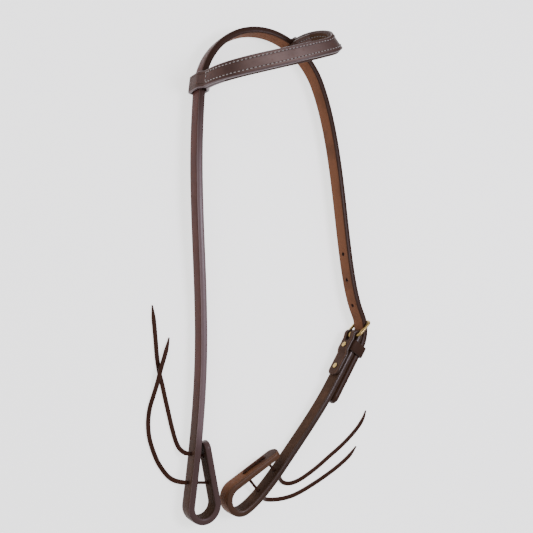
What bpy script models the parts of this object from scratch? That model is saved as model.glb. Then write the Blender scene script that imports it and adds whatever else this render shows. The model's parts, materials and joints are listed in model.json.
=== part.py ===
"""Slide ear headstall, lying on its strap edges, as separate pieces of leather and brass.

Metres, +Z up. X runs from the off cheek to the near cheek, Y from the bit loops to the crown.
The pieces are laid out round the centre of the crown's arc and then moved so that the origin is
the middle of the headstall's footprint.
"""
import math
from collections import namedtuple

import bmesh
import bpy
from mathutils import Vector

# Straps
STRAP_WIDTH = 0.016
STRAP_THICKNESS = 0.0060
FOLD_THICKNESS = 0.0032
EDGE_CHAMFER = 0.0008
TIP_CORNER_RADIUS = 0.0062
STATION_LENGTH = 0.010

# Gaps between pieces that touch or slide
SEAT_GAP = 0.0003
LOOP_CLEARANCE = 0.0007
CUT_OVERRUN = 0.004

# Crown: a true arc, so that the ear piece can slide round it
CROWN_RADIUS = 0.0717
CROWN_OFF_ANGLE = 176.0
CROWN_NEAR_ANGLE = 25.0

# Bit loops
BIT_LOOP_RADIUS = 0.0132
OFF_LOOP_SIDE = 0.0648
OFF_LOOP_DROP = 0.3801
OFF_LOOP_HEADING = -97.8
OFF_CROWN_PULL_SHARE = 1.28
OFF_LOOP_PULL_SHARE = 1.62
BIT_LOOPS_APART = 0.0062
NEAR_LOOP_RAISE = 0.0009
NEAR_LOOP_HEADING = -158.0
NEAR_CHEEK_PULL_SHARE = 0.60
NEAR_LOOP_PULL_SHARE = 0.60
BIT_TAIL_LENGTH = 0.056
OFF_TAIL_GAP = 0.0022
NEAR_TAIL_GAP = 0.0062

# Buckle, at the top of the near cheek
BAR_SIDE = 0.1092
BAR_DROP = 0.2302
CHEEK_HEADING = -124.0
WIRE_RADIUS = 0.0016
FRAME_LENGTH = 0.0215
FRAME_SIDE_CLEARANCE = 0.0010
FRAME_CORNER_RADIUS = 0.0040
TONGUE_RADIUS = 0.0012
TONGUE_OVERHANG = 0.0030
TONGUE_WRAP_ANGLE = 250.0
TONGUE_SLOT_WIDTH = 0.0052
TONGUE_SLOT_REACH = 0.0080
TONGUE_PLAY_IN = 0.0004
TONGUE_PLAY_OUT = 0.0018
BUCKLE_BEND_RADIUS = 0.035
BUCKLE_BEND_ANGLE = 61.0
NEAR_CROWN_PULL_SHARE = 0.95
BUCKLE_PULL_SHARE = 0.65
BILLET_LENGTH = 0.065

# Fold of the near cheek, measured down the cheek from the buckle's bar
FOLD_TAIL_LENGTH = 0.048
FOLD_CLOSING_LENGTH = 0.006
KEEPER_START = 0.0052
KEEPER_WIDTH = 0.0120
KEEPER_THICKNESS = 0.0018
KEEPER_CORNER_RADIUS = 0.0016
UPPER_SCREW_PLACE = 0.0135
LOWER_SCREW_PLACE = 0.038

# Two-piece screws
SCREW_HEAD_RADIUS = 0.0028
SCREW_HEAD_HEIGHT = 0.0010
SCREW_SLOT_WIDTH = 0.0008
SCREW_SLOT_DEPTH = 0.0004
POST_RADIUS = 0.0019
POST_BORE_RADIUS = 0.0013
SHANK_RADIUS = 0.0009
POST_END_DEPTH = 0.0006

# Holes
ADJUSTING_HOLE_RADIUS = 0.0020
ADJUSTING_HOLE_PITCH = 0.0275
ADJUSTING_HOLES_ABOVE = 3
ADJUSTING_HOLES_BELOW = 1

# Laces
LACE_RADIUS = 0.0013
LACE_END_RADIUS = 0.0015
LACE_HOLE_PLACE = 0.0165
LACE_HOLE_PITCH = 0.025
OFF_LACE_LEAD = 0.0035
NEAR_LACE_LEAD = 0.0065
LACE_CORNER_RADIUS = 0.0020
LACE_STUB = 0.0012

# Ear piece
EAR_WIDTH = 0.016
EAR_PLY = 0.0029
EAR_OFF_ANGLE = 173.4
EAR_POLL_ANGLE = 61.2
EAR_LOOP_NECK = 0.0065
EAR_LOOP_CORNER_RADIUS = 0.0018
EAR_TAIL_LENGTH = 0.020
EAR_PEAK_RISE = 0.0572
EAR_PEAK_BACK = 0.0188
EAR_PEAK_INWARD = 0.0162
EAR_PEAK_HEADING = 23.0
EAR_PEAK_FALL = 6.0
EAR_PEAK_TILT = -22.0
EAR_TWIST_HOLD = 1.3
EAR_OFF_PULL = 0.110
EAR_PEAK_PULL_IN = 0.220
EAR_PEAK_PULL_OUT = 0.078
EAR_POLL_PULL = 0.100
THREAD_RADIUS = 0.0004
THREAD_MARGIN = 0.0032
THREAD_SETBACK = 0.0030

# Height of the strap over the surface: level with it at the bit loops, lifted by the buckle above
OFF_RAMP_START = 0.090
OFF_RAMP_LENGTH = 0.130
NEAR_RAMP_START = 0.065
NEAR_RAMP_LENGTH = 0.085

# Fineness
TURN_STEP = 6.0
LOOP_TURN_STEP = 12.0
ROUND_SIDES = 12
WIRE_SIDES = 10
EAR_LEG_STATIONS = 18
EAR_TURN_STATIONS = 32
SEARCH_STEPS = 40

UP = Vector((0, 0, 1))
FRAME_HALF_WIDTH = STRAP_WIDTH / 2 + FRAME_SIDE_CLEARANCE + WIRE_RADIUS
LIFT = FRAME_HALF_WIDTH + WIRE_RADIUS - STRAP_WIDTH / 2
MID_LIFTED = LIFT + STRAP_WIDTH / 2

# One cross-section of a flat strap: its middle, the direction of its width and of its thickness
Station = namedtuple("Station", "centre across normal width thickness")


def turned(vector, degrees):
    """The flat vector turned about +Z."""
    angle = math.radians(degrees)
    cosine, sine = math.cos(angle), math.sin(angle)
    return Vector((vector.x * cosine - vector.y * sine, vector.x * sine + vector.y * cosine, vector.z))


def heading_vector(degrees):
    """The flat unit vector at an angle from +X."""
    return turned(Vector((1, 0, 0)), degrees)


def smooth_step(value):
    """0 to 1 with level ends."""
    share = min(max(value, 0), 1)
    return share * share * (3 - 2 * share)


def arc_points(start, heading, radius, turn, step=TURN_STEP):
    """Points along an arc that leaves start with a heading; a positive turn is to the left."""
    side = 90 if turn > 0 else -90
    centre = start + radius * heading_vector(heading + side)
    count = max(2, math.ceil(abs(turn) / step))
    return [centre + turned(start - centre, turn * index / count) for index in range(count + 1)]


def straight_points(start, heading, length):
    """Points along a straight run."""
    count = max(1, math.ceil(length / STATION_LENGTH))
    return [start + heading_vector(heading) * (length * index / count) for index in range(count + 1)]


def held_curve(start, leave, end, arrive, count):
    """Points of the smooth curve between two held ends with given pulls."""
    points = []
    for index in range(count + 1):
        share = index / count
        square = share * share
        cube = square * share
        points.append(start * (2 * cube - 3 * square + 1) + leave * (cube - 2 * square + share)
                      + end * (3 * square - 2 * cube) + arrive * (cube - square))
    return points


def bent_points(start, start_heading, start_share, end, end_heading, end_share):
    """Points along the curve that a strap takes between two held ends, each pulling its share."""
    chord = (end - start).length
    leave = heading_vector(start_heading) * (chord * start_share)
    arrive = heading_vector(end_heading) * (chord * end_share)
    return held_curve(start, leave, end, arrive, math.ceil(chord / STATION_LENGTH))


def joined(*runs):
    """One list of points from runs that follow each other, without the doubled ends."""
    points = list(runs[0])
    for run in runs[1:]:
        points.extend(run[1:])
    return points


def distances(points):
    """Length along the points up to each of them."""
    total = 0
    lengths = [0]
    for first, second in zip(points, points[1:]):
        total += (second - first).length
        lengths.append(total)
    return lengths


def point_at(points, distance):
    """Point and direction at a distance along the points."""
    lengths = distances(points)
    for index in range(1, len(points)):
        if lengths[index] >= distance or index == len(points) - 1:
            step = points[index] - points[index - 1]
            share = (distance - lengths[index - 1]) / step.length
            return points[index - 1] + step * share, step.normalized()


def directions(points):
    """Direction of travel at each point."""
    found = []
    last = len(points) - 1
    for index in range(len(points)):
        found.append((points[min(index + 1, last)] - points[max(index - 1, 0)]).normalized())
    return found


def with_tip_points(points):
    """Adds close points near both ends, where a strap's corners are rounded."""
    share_of_corner = [0.12, 0.3, 0.6, 1]
    for _ in range(2):
        tip, toward = points[0], (points[1] - points[0]).normalized()
        extra = [tip + toward * (TIP_CORNER_RADIUS * share) for share in share_of_corner]
        kept = [point for point in points if (point - tip).length > TIP_CORNER_RADIUS * 1.2]
        points = [tip] + extra + kept
        points.reverse()
    return points


def tip_inset(distance):
    """How far a rounded tip's edge is drawn in, a distance from the strap's end."""
    if distance >= TIP_CORNER_RADIUS:
        return 0
    run = TIP_CORNER_RADIUS - distance
    return TIP_CORNER_RADIUS - math.sqrt(TIP_CORNER_RADIUS ** 2 - run ** 2)


# Routes, in plan, of every strap's middle

CROWN_CENTRE = Vector((0, 0, 0))
OFF_LOOP_CENTRE = Vector((-OFF_LOOP_SIDE, -OFF_LOOP_DROP, 0))
LOOP_OUTER_RADIUS = BIT_LOOP_RADIUS + STRAP_THICKNESS / 2
NEAR_LOOP_CENTRE = OFF_LOOP_CENTRE + Vector((2 * LOOP_OUTER_RADIUS + BIT_LOOPS_APART, NEAR_LOOP_RAISE, 0))
BAR_CENTRE = Vector((BAR_SIDE, -BAR_DROP, 0))
CHEEK_UP = -heading_vector(CHEEK_HEADING)
CHEEK_OUT = turned(CHEEK_UP, -90)

WRAP_RADIUS = WIRE_RADIUS + SEAT_GAP
CHEEK_OFFSET = WRAP_RADIUS + STRAP_THICKNESS / 2
CHEEK_INNER_FACE = CHEEK_OFFSET - STRAP_THICKNESS / 2
CHEEK_OUTER_FACE = CHEEK_OFFSET + STRAP_THICKNESS / 2
BILLET_INNER_FACE = CHEEK_OUTER_FACE + SCREW_HEAD_HEIGHT + 2 * SEAT_GAP
BILLET_OFFSET = BILLET_INNER_FACE + STRAP_THICKNESS / 2
FOLD_OPEN_OFFSET = CHEEK_INNER_FACE - KEEPER_THICKNESS - 2 * SEAT_GAP - FOLD_THICKNESS / 2
FOLD_SHUT_OFFSET = CHEEK_INNER_FACE - SEAT_GAP - FOLD_THICKNESS / 2
KEEPER_END = KEEPER_START + KEEPER_WIDTH


def at_bar(along, outward, height=0):
    """A place near the buckle: along the cheek up from the bar, outward from it, and its height."""
    return BAR_CENTRE + CHEEK_UP * along + CHEEK_OUT * outward + UP * height


def bend_start():
    """Where the crown strap's bend round the buckle's bar ends, below the bar, in the cheek's frame."""
    fold_reach = CHEEK_OUTER_FACE + SEAT_GAP
    bend_centre_distance = BUCKLE_BEND_RADIUS - STRAP_THICKNESS / 2 - fold_reach
    depth = BUCKLE_BEND_RADIUS - BILLET_OFFSET
    return math.sqrt(max(bend_centre_distance ** 2 - depth ** 2, 0))


BEND_BELOW_BAR = bend_start()
BEND_CENTRE = at_bar(-BEND_BELOW_BAR, BILLET_OFFSET - BUCKLE_BEND_RADIUS)


def frame_heading():
    """Heading of the buckle's frame when its top bar rests on the crown strap."""
    reach = BUCKLE_BEND_RADIUS + STRAP_THICKNESS / 2 + SEAT_GAP + WIRE_RADIUS
    away = BEND_CENTRE - BAR_CENTRE
    share = (FRAME_LENGTH ** 2 + away.length ** 2 - reach ** 2) / (2 * FRAME_LENGTH * away.length)
    between = math.degrees(math.acos(min(max(share, -1), 1)))
    return math.degrees(math.atan2(away.y, away.x)) - between


FRAME_HEADING = frame_heading()
FRAME_UP = heading_vector(FRAME_HEADING)
FRAME_OUT = turned(FRAME_UP, -90)
TONGUE_OFFSET = WIRE_RADIUS + SEAT_GAP + TONGUE_RADIUS


def loop_and_tail(loop_centre, heading, side, leg, tail_gap):
    """Points round a bit loop and up its tail, whose tip stands tail_gap off the leg's points."""
    start = loop_centre - BIT_LOOP_RADIUS * heading_vector(heading + 90 * side)

    def points_for(turn):
        loop = arc_points(start, heading, BIT_LOOP_RADIUS, side * turn, LOOP_TURN_STEP)
        return joined(loop, straight_points(loop[-1], heading + side * turn, BIT_TAIL_LENGTH))

    few, many = 150.0, 240.0
    wanted = STRAP_THICKNESS + tail_gap
    for _ in range(SEARCH_STEPS):
        turn = (few + many) / 2
        tip = points_for(turn)[-1]
        ahead = leg(tip)
        if ahead > wanted:
            few = turn
        else:
            many = turn
    return points_for((few + many) / 2)


def distance_to(points, side):
    """A function that gives how far a place lies to one side of a strap's points."""
    def measure(place):
        best = None
        for first, second in zip(points, points[1:]):
            run = second - first
            share = min(max((place - first).dot(run) / run.length_squared, 0), 1)
            apart = place - first - run * share
            if best is None or apart.length < abs(best):
                sign = 1 if (turned(run, 90).dot(apart)) * side > 0 else -1
                best = sign * apart.length
        return best
    return measure


def off_route():
    """Points of the off cheek from the crown arc down, round the bit loop and up its tail."""
    start = CROWN_CENTRE + heading_vector(CROWN_OFF_ANGLE) * CROWN_RADIUS
    loop_start = OFF_LOOP_CENTRE - BIT_LOOP_RADIUS * heading_vector(OFF_LOOP_HEADING + 90)
    cheek = bent_points(start, CROWN_OFF_ANGLE + 90, OFF_CROWN_PULL_SHARE,
                        loop_start, OFF_LOOP_HEADING, OFF_LOOP_PULL_SHARE)
    tail = loop_and_tail(OFF_LOOP_CENTRE, OFF_LOOP_HEADING, 1, distance_to(cheek, 1), OFF_TAIL_GAP)
    return cheek, tail


def near_cheek_route():
    """Points of the near cheek from the fold's lower end down, round the bit loop and up its tail."""
    start = at_bar(-FOLD_TAIL_LENGTH, CHEEK_OFFSET)
    loop_start = NEAR_LOOP_CENTRE - BIT_LOOP_RADIUS * heading_vector(NEAR_LOOP_HEADING - 90)
    cheek = bent_points(start, CHEEK_HEADING, NEAR_CHEEK_PULL_SHARE,
                        loop_start, NEAR_LOOP_HEADING, NEAR_LOOP_PULL_SHARE)
    tail = loop_and_tail(NEAR_LOOP_CENTRE, NEAR_LOOP_HEADING, -1, distance_to(cheek, -1), NEAR_TAIL_GAP)
    return cheek, tail


def near_crown_route():
    """Points of the crown strap's near side from the crown arc down through the buckle to its tip."""
    start = CROWN_CENTRE + heading_vector(CROWN_NEAR_ANGLE) * CROWN_RADIUS
    bend_heading = CHEEK_HEADING + BUCKLE_BEND_ANGLE
    bend_top = BEND_CENTRE + BUCKLE_BEND_RADIUS * heading_vector(bend_heading + 90)
    side = bent_points(start, CROWN_NEAR_ANGLE - 90, NEAR_CROWN_PULL_SHARE,
                       bend_top, bend_heading, BUCKLE_PULL_SHARE)
    bend = arc_points(bend_top, bend_heading, BUCKLE_BEND_RADIUS, -BUCKLE_BEND_ANGLE)
    return joined(side, bend, straight_points(bend[-1], CHEEK_HEADING, BILLET_LENGTH))


def crown_arc():
    """Points of the crown arc from the off side to the near side."""
    start = CROWN_CENTRE + heading_vector(CROWN_OFF_ANGLE) * CROWN_RADIUS
    return arc_points(start, CROWN_OFF_ANGLE - 90, CROWN_RADIUS, CROWN_NEAR_ANGLE - CROWN_OFF_ANGLE)


def off_base(distance):
    """Height of the crown strap's lower edge, a distance down the off side from the crown arc."""
    return LIFT * (1 - smooth_step((distance - OFF_RAMP_START) / OFF_RAMP_LENGTH))


def near_base(distance):
    """Height of the near cheek's lower edge, a distance down from the buckle's bar."""
    return LIFT * (1 - smooth_step((distance - NEAR_RAMP_START) / NEAR_RAMP_LENGTH))


# Solids

def loft(rings, closed=False):
    """A closed body through rings of points, both halves of a ring split along matching diagonals."""
    mesh = bmesh.new()
    loops = [[mesh.verts.new(point) for point in ring] for ring in rings]
    pairs = list(zip(loops, loops[1:]))
    if closed:
        pairs.append((loops[-1], loops[0]))
    else:
        mesh.faces.new(loops[0])
        mesh.faces.new(reversed(loops[-1]))
    for first, second in pairs:
        for index in range(len(first)):
            following = (index + 1) % len(first)
            if index < len(first) / 2:
                mesh.faces.new((first[index], second[index], second[following]))
                mesh.faces.new((first[index], second[following], first[following]))
            else:
                mesh.faces.new((first[index], second[index], first[following]))
                mesh.faces.new((second[index], second[following], first[following]))
    bmesh.ops.recalc_face_normals(mesh, faces=mesh.faces)
    return mesh


def strap_ring(station):
    """The eight corners of a strap's cross-section, with its edges taken off."""
    wide = station.width / 2
    thick = station.thickness / 2
    chamfer = min(EDGE_CHAMFER, thick / 2)
    corners = [(wide - chamfer, thick), (chamfer - wide, thick), (-wide, thick - chamfer), (-wide, chamfer - thick),
               (chamfer - wide, -thick), (wide - chamfer, -thick), (wide, chamfer - thick), (wide, thick - chamfer)]
    return [station.centre + station.across * along + station.normal * off for along, off in corners]


def standing_stations(points, bases, thicknesses):
    """Stations of a strap that stands on its edge along the points, its ends rounded."""
    lengths = distances(points)
    stations = []
    for index, direction in enumerate(directions(points)):
        inset = max(tip_inset(lengths[index]), tip_inset(lengths[-1] - lengths[index]))
        centre = points[index] + UP * (bases[index] + STRAP_WIDTH / 2)
        width = STRAP_WIDTH - 2 * inset
        stations.append(Station(centre, UP, turned(direction, 90), width, thicknesses[index]))
    return stations


def tube_rings(points, radius, sides, closed=False):
    """Rings of a round tube along the points, carried along without twist."""
    count = len(points)
    tangents = []
    for index in range(count):
        if closed:
            ahead, behind = points[(index + 1) % count], points[index - 1]
        else:
            ahead, behind = points[min(index + 1, count - 1)], points[max(index - 1, 0)]
        tangents.append((ahead - behind).normalized())
    side = tangents[0].orthogonal().normalized()
    rings = []
    for point, tangent in zip(points, tangents):
        side = (side - tangent * side.dot(tangent)).normalized()
        other = tangent.cross(side)
        ring = []
        for index in range(sides):
            angle = math.tau * index / sides
            ring.append(point + (side * math.cos(angle) + other * math.sin(angle)) * radius)
        rings.append(ring)
    return rings


def turned_body(profile, foot, axis):
    """A body turned about an axis through foot; the profile gives (radius, height) from end to end."""
    side = axis.orthogonal().normalized()
    other = axis.cross(side)
    mesh = bmesh.new()
    rows = []
    for radius, height in profile:
        middle = foot + axis * height
        if radius == 0:
            rows.append([mesh.verts.new(middle)])
            continue
        row = []
        for index in range(ROUND_SIDES):
            angle = math.tau * index / ROUND_SIDES
            row.append(mesh.verts.new(middle + (side * math.cos(angle) + other * math.sin(angle)) * radius))
        rows.append(row)
    for first, second in zip(rows, rows[1:]):
        for index in range(ROUND_SIDES):
            following = (index + 1) % ROUND_SIDES
            corners = [first[index % len(first)], second[index % len(second)],
                       second[following % len(second)], first[following % len(first)]]
            unique = list(dict.fromkeys(corners))
            mesh.faces.new(unique)
    bmesh.ops.recalc_face_normals(mesh, faces=mesh.faces)
    return mesh


def block(centre, along, across, upward, sizes):
    """A box by its middle, its three directions and its three sizes, as rings for a loft."""
    rings = []
    for end in (-1, 1):
        middle = centre + along * (end * sizes[0] / 2)
        wide = across * (sizes[1] / 2)
        tall = upward * (sizes[2] / 2)
        rings.append([middle - wide - tall, middle + wide - tall, middle + wide + tall, middle - wide + tall])
    return rings


# Objects

def material(name, colour, roughness, metallic):
    """A plain finish."""
    finish = bpy.data.materials.new(name)
    finish.use_nodes = True
    shader = finish.node_tree.nodes["Principled BSDF"]
    shader.inputs["Base Color"].default_value = (*colour, 1)
    shader.inputs["Roughness"].default_value = roughness
    shader.inputs["Metallic"].default_value = metallic
    return finish


def add_piece(name, mesh, finish, origin=None):
    """An object from a body in the layout frame, with its origin at a chosen place."""
    place = origin if origin is not None else Vector((0, 0, 0))
    for vertex in mesh.verts:
        vertex.co -= place
    data = bpy.data.meshes.new(name)
    mesh.to_mesh(data)
    mesh.free()
    data.materials.append(finish)
    data.shade_smooth()
    data.set_sharp_from_angle(angle=math.radians(30))
    piece = bpy.data.objects.new(name, data)
    piece.location = place
    bpy.context.collection.objects.link(piece)
    return piece


def cut(piece, name, meshes):
    """Cuts closed bodies out of a piece with one Boolean."""
    tool = bmesh.new()
    for mesh in meshes:
        part = bpy.data.meshes.new(name)
        mesh.to_mesh(part)
        mesh.free()
        tool.from_mesh(part)
        bpy.data.meshes.remove(part)
    data = bpy.data.meshes.new(name)
    tool.to_mesh(data)
    tool.free()
    cutter = bpy.data.objects.new(name, data)
    cutter.hide_render = True
    cutter.display_type = "WIRE"
    bpy.context.collection.objects.link(cutter)
    modifier = piece.modifiers.new(name, "BOOLEAN")
    modifier.operation = "DIFFERENCE"
    modifier.object = cutter
    return cutter


# Laces

def lace_line(cheek, tail, place, lead):
    """Where a lace crosses a bit loop: the middles of the cheek, lead further up, and of the tail."""
    up_cheek = list(reversed(cheek))
    on_cheek, _ = point_at(up_cheek, place + lead)
    on_tail, _ = point_at(tail, distances(tail)[-1] - BIT_TAIL_LENGTH + place)
    return on_cheek + UP * (STRAP_WIDTH / 2), on_tail + UP * (STRAP_WIDTH / 2)


def lace_lines(cheek, tail, lead):
    """The lower and upper crossing of one bit loop's lace."""
    return [lace_line(cheek, tail, LACE_HOLE_PLACE + LACE_HOLE_PITCH * index, lead) for index in range(2)]


def lace_exit(line):
    """Where a lace's held stretch ends outside the cheek, and the direction it leaves in."""
    on_cheek, on_tail = line
    outward = (on_cheek - on_tail).normalized()
    return on_cheek + outward * (STRAP_THICKNESS / 2 + LACE_STUB), outward


def lace_hole(middle, direction):
    """A cutter for one lace hole."""
    reach = STRAP_THICKNESS / 2 + CUT_OVERRUN / 2
    ends = [middle - direction * reach, middle + direction * reach]
    return loft(tube_rings(ends, LACE_RADIUS + SEAT_GAP + LACE_RADIUS / 4, ROUND_SIDES))


def rounded_corner(before, corner, after, radius):
    """Points round a corner of a lace's path."""
    first = (before - corner).normalized()
    second = (after - corner).normalized()
    count = 4
    points = []
    for index in range(count + 1):
        share = index / count
        points.append(corner + first * (radius * (1 - share) ** 2) + second * (radius * share ** 2))
    return points


def held_lace(lines):
    """The held stretch of a lace: in through the lower holes, along the tail's outside and back out."""
    (low_cheek, low_tail), (high_cheek, high_tail) = lines
    low_end, low_out = lace_exit(lines[0])
    high_end, high_out = lace_exit(lines[1])
    clear = STRAP_THICKNESS / 2 + SEAT_GAP + LACE_RADIUS
    along = (high_tail - low_tail).normalized()
    low_corner = low_tail - low_out * (clear / abs(turned(along, 90).dot(low_out)))
    high_corner = high_tail - high_out * (clear / abs(turned(along, 90).dot(high_out)))
    points = [low_end, low_cheek]
    points += rounded_corner(low_tail, low_corner, high_corner, LACE_CORNER_RADIUS)
    points += rounded_corner(low_corner, high_corner, high_tail, LACE_CORNER_RADIUS)
    points += [high_cheek, high_end]
    return loft(tube_rings(points, LACE_RADIUS, ROUND_SIDES))


# Places along each free lace end, as steps from where the held stretch ends: x, y and height
OFF_UPPER_LACE = [(-0.0044, 0.0010, 0.0064), (-0.0080, 0.0040, 0.0038), (-0.0104, 0.0088, 0.0019),
                  (-0.0128, 0.0155, 0.0015), (-0.0162, 0.0274, 0.0015), (-0.0194, 0.0402, 0.0015),
                  (-0.0224, 0.0521, 0.0015), (-0.0250, 0.0630, 0.0015), (-0.0280, 0.0743, 0.0015),
                  (-0.0303, 0.0879, 0.0015), (-0.0318, 0.1036, 0.0015), (-0.0335, 0.1197, 0.0015),
                  (-0.0353, 0.1350, 0.0015)]
OFF_LOWER_LACE = [(-0.0052, 0.0007, 0.0060), (-0.0102, 0.0022, 0.0032), (-0.0153, 0.0058, 0.0016),
                  (-0.0206, 0.0121, 0.0015), (-0.0261, 0.0208, 0.0015), (-0.0306, 0.0314, 0.0015),
                  (-0.0341, 0.0432, 0.0015), (-0.0352, 0.0557, 0.0015), (-0.0339, 0.0679, 0.0015),
                  (-0.0303, 0.0800, 0.0019), (-0.0276, 0.0915, 0.0040), (-0.0254, 0.1022, 0.0051),
                  (-0.0213, 0.1135, 0.0040), (-0.0176, 0.1231, 0.0020), (-0.0157, 0.1307, 0.0015)]
NEAR_UPPER_LACE = [(0.0036, -0.0042, 0.0056), (0.0080, -0.0084, 0.0027), (0.0132, -0.0112, 0.0015),
                   (0.0195, -0.0121, 0.0015), (0.0272, -0.0110, 0.0015), (0.0368, -0.0077, 0.0015),
                   (0.0526, -0.0002, 0.0015), (0.0683, 0.0088, 0.0015), (0.0821, 0.0167, 0.0015),
                   (0.0943, 0.0248, 0.0015), (0.1060, 0.0342, 0.0015), (0.1138, 0.0430, 0.0015),
                   (0.1181, 0.0518, 0.0015)]
NEAR_LOWER_LACE = [(0.0034, -0.0034, 0.0058), (0.0080, -0.0058, 0.0027), (0.0140, -0.0073, 0.0015),
                   (0.0215, -0.0081, 0.0015), (0.0300, -0.0082, 0.0015), (0.0405, -0.0071, 0.0015),
                   (0.0518, -0.0042, 0.0015), (0.0636, -0.0001, 0.0015), (0.0751, 0.0043, 0.0015),
                   (0.0894, 0.0105, 0.0015), (0.1034, 0.0176, 0.0015), (0.1142, 0.0246, 0.0015),
                   (0.1223, 0.0324, 0.0015)]


def smooth_curve(points, count):
    """Evenly spaced points of a smooth curve through the given ones."""
    fine = []
    padded = [points[0] * 2 - points[1]] + points + [points[-1] * 2 - points[-2]]
    for index in range(1, len(padded) - 2):
        before, first, second, after = padded[index - 1:index + 3]
        for step in range(SEARCH_STEPS):
            share = step / SEARCH_STEPS
            fine.append(0.5 * (2 * first + (second - before) * share
                               + (2 * before - 5 * first + 4 * second - after) * share ** 2
                               + (3 * first - before - 3 * second + after) * share ** 3))
    fine.append(points[-1])
    total = distances(fine)[-1]
    return [point_at(fine, total * index / count)[0] for index in range(count)] + [points[-1]]


def lace_end_points(line, steps):
    """Points of a free lace end, from its exit to its tip."""
    leave, outward = lace_exit(line)
    start = leave + outward * SEAT_GAP
    points = [start + outward * LACE_STUB]
    for across, along, height in steps:
        points.append(Vector((leave.x + across, leave.y + along, height)))
    length = distances(points)[-1]
    return [start] + smooth_curve(points, math.ceil(length / (5 * LACE_END_RADIUS)))


def add_lace_end(name, points, finish):
    """A free lace end as a round tube with closed ends."""
    data = bpy.data.curves.new(name, "CURVE")
    data.dimensions = "3D"
    data.bevel_depth = LACE_END_RADIUS
    data.bevel_resolution = 2
    data.use_fill_caps = True
    spline = data.splines.new("POLY")
    spline.points.add(len(points) - 1)
    for target, point in zip(spline.points, points):
        target.co = (*point, 1)
    data.materials.append(finish)
    piece = bpy.data.objects.new(name, data)
    bpy.context.collection.objects.link(piece)
    return piece


# Pieces

def adjusting_holes(crown):
    """Cutters for the round holes above and below the one that is in use."""
    meshes = []
    used = billet_crossing()
    nearest = min(range(len(crown)), key=lambda index: (crown[index] - used).length)
    in_use = distances(crown)[nearest] + (used - crown[nearest]).dot(directions(crown)[nearest])
    for number in range(-ADJUSTING_HOLES_BELOW, ADJUSTING_HOLES_ABOVE + 1):
        if number == 0:
            continue
        middle, direction = point_at(crown, in_use - number * ADJUSTING_HOLE_PITCH)
        through = turned(direction, 90)
        reach = STRAP_THICKNESS / 2 + CUT_OVERRUN / 2
        ends = [middle - through * reach + UP * MID_LIFTED, middle + through * reach + UP * MID_LIFTED]
        meshes.append(loft(tube_rings(ends, ADJUSTING_HOLE_RADIUS, ROUND_SIDES)))
    return meshes


def billet_crossing():
    """Where the tongue crosses the middle of the crown strap, in plan."""
    start = BAR_CENTRE + FRAME_OUT * TONGUE_OFFSET
    away = start - BEND_CENTRE
    along = away.dot(FRAME_UP)
    reach = math.sqrt(along ** 2 - away.length_squared + BUCKLE_BEND_RADIUS ** 2) - along
    return start + FRAME_UP * reach


def tongue_hole():
    """Cutter for the hole that the tongue goes through, with room for the tongue to swing."""
    start = BAR_CENTRE + FRAME_OUT * (TONGUE_OFFSET + (TONGUE_PLAY_OUT - TONGUE_PLAY_IN) / 2)
    centre = start + FRAME_UP * (FRAME_LENGTH / 2 + CUT_OVERRUN / 2) + UP * MID_LIFTED
    high = 2 * TONGUE_RADIUS + TONGUE_PLAY_IN + TONGUE_PLAY_OUT
    sizes = (FRAME_LENGTH, high, 2 * ADJUSTING_HOLE_RADIUS)
    return loft(block(centre, FRAME_UP, FRAME_OUT, UP, sizes))


def add_crown_strap(leather):
    """The long strap with its off bit loop, crown arc and buckled end."""
    cheek, tail = off_route()
    crown = joined(crown_arc(), near_crown_route())
    lower = joined(cheek, tail)
    crown = with_tip_points(joined(list(reversed(lower)), crown))
    lengths = distances(crown)
    turnover = distances(lower)[-1]
    bases = [off_base(turnover - length) for length in lengths]
    thick = [STRAP_THICKNESS] * len(crown)
    stations = standing_stations(crown, bases, thick)
    piece = add_piece("crown_strap", loft([strap_ring(station) for station in stations]), leather)
    holes = adjusting_holes(crown) + [tongue_hole()]
    lines = lace_lines(cheek, tail, OFF_LACE_LEAD)
    for line in lines:
        direction = (line[1] - line[0]).normalized()
        holes += [lace_hole(middle, direction) for middle in line]
    cut(piece, "crown_strap_holes", holes)
    return piece, lines


def fold_points():
    """Points from the fold tail's end up the cheek's inner face, and then round the bar."""
    inside = []
    count = math.ceil(FOLD_TAIL_LENGTH / (STATION_LENGTH / 4))
    for index in range(count):
        place = FOLD_TAIL_LENGTH * (1 - index / count)
        opened = 1 - smooth_step((place - KEEPER_END - SEAT_GAP) / FOLD_CLOSING_LENGTH)
        offset = FOLD_SHUT_OFFSET + (FOLD_OPEN_OFFSET - FOLD_SHUT_OFFSET) * opened
        at_turn = -(WRAP_RADIUS + FOLD_THICKNESS / 2)
        offset += (at_turn - offset) * (1 - smooth_step(place / KEEPER_START))
        inside.append(at_bar(-place, offset))
    turn = []
    steps = math.ceil(180 / LOOP_TURN_STEP)
    for index in range(steps + 1):
        share = index / steps
        radius = WRAP_RADIUS + (FOLD_THICKNESS + (STRAP_THICKNESS - FOLD_THICKNESS) * share) / 2
        angle = math.pi * share
        turn.append(at_bar(radius * math.sin(angle), -radius * math.cos(angle)))
    return inside, turn


def screw_hole(place, radius):
    """Cutter for a screw's hole through the fold."""
    reach = CHEEK_OUTER_FACE + CUT_OVERRUN
    ends = [at_bar(-place, -reach, MID_LIFTED), at_bar(-place, reach, MID_LIFTED)]
    return loft(tube_rings(ends, radius, ROUND_SIDES))


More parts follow.
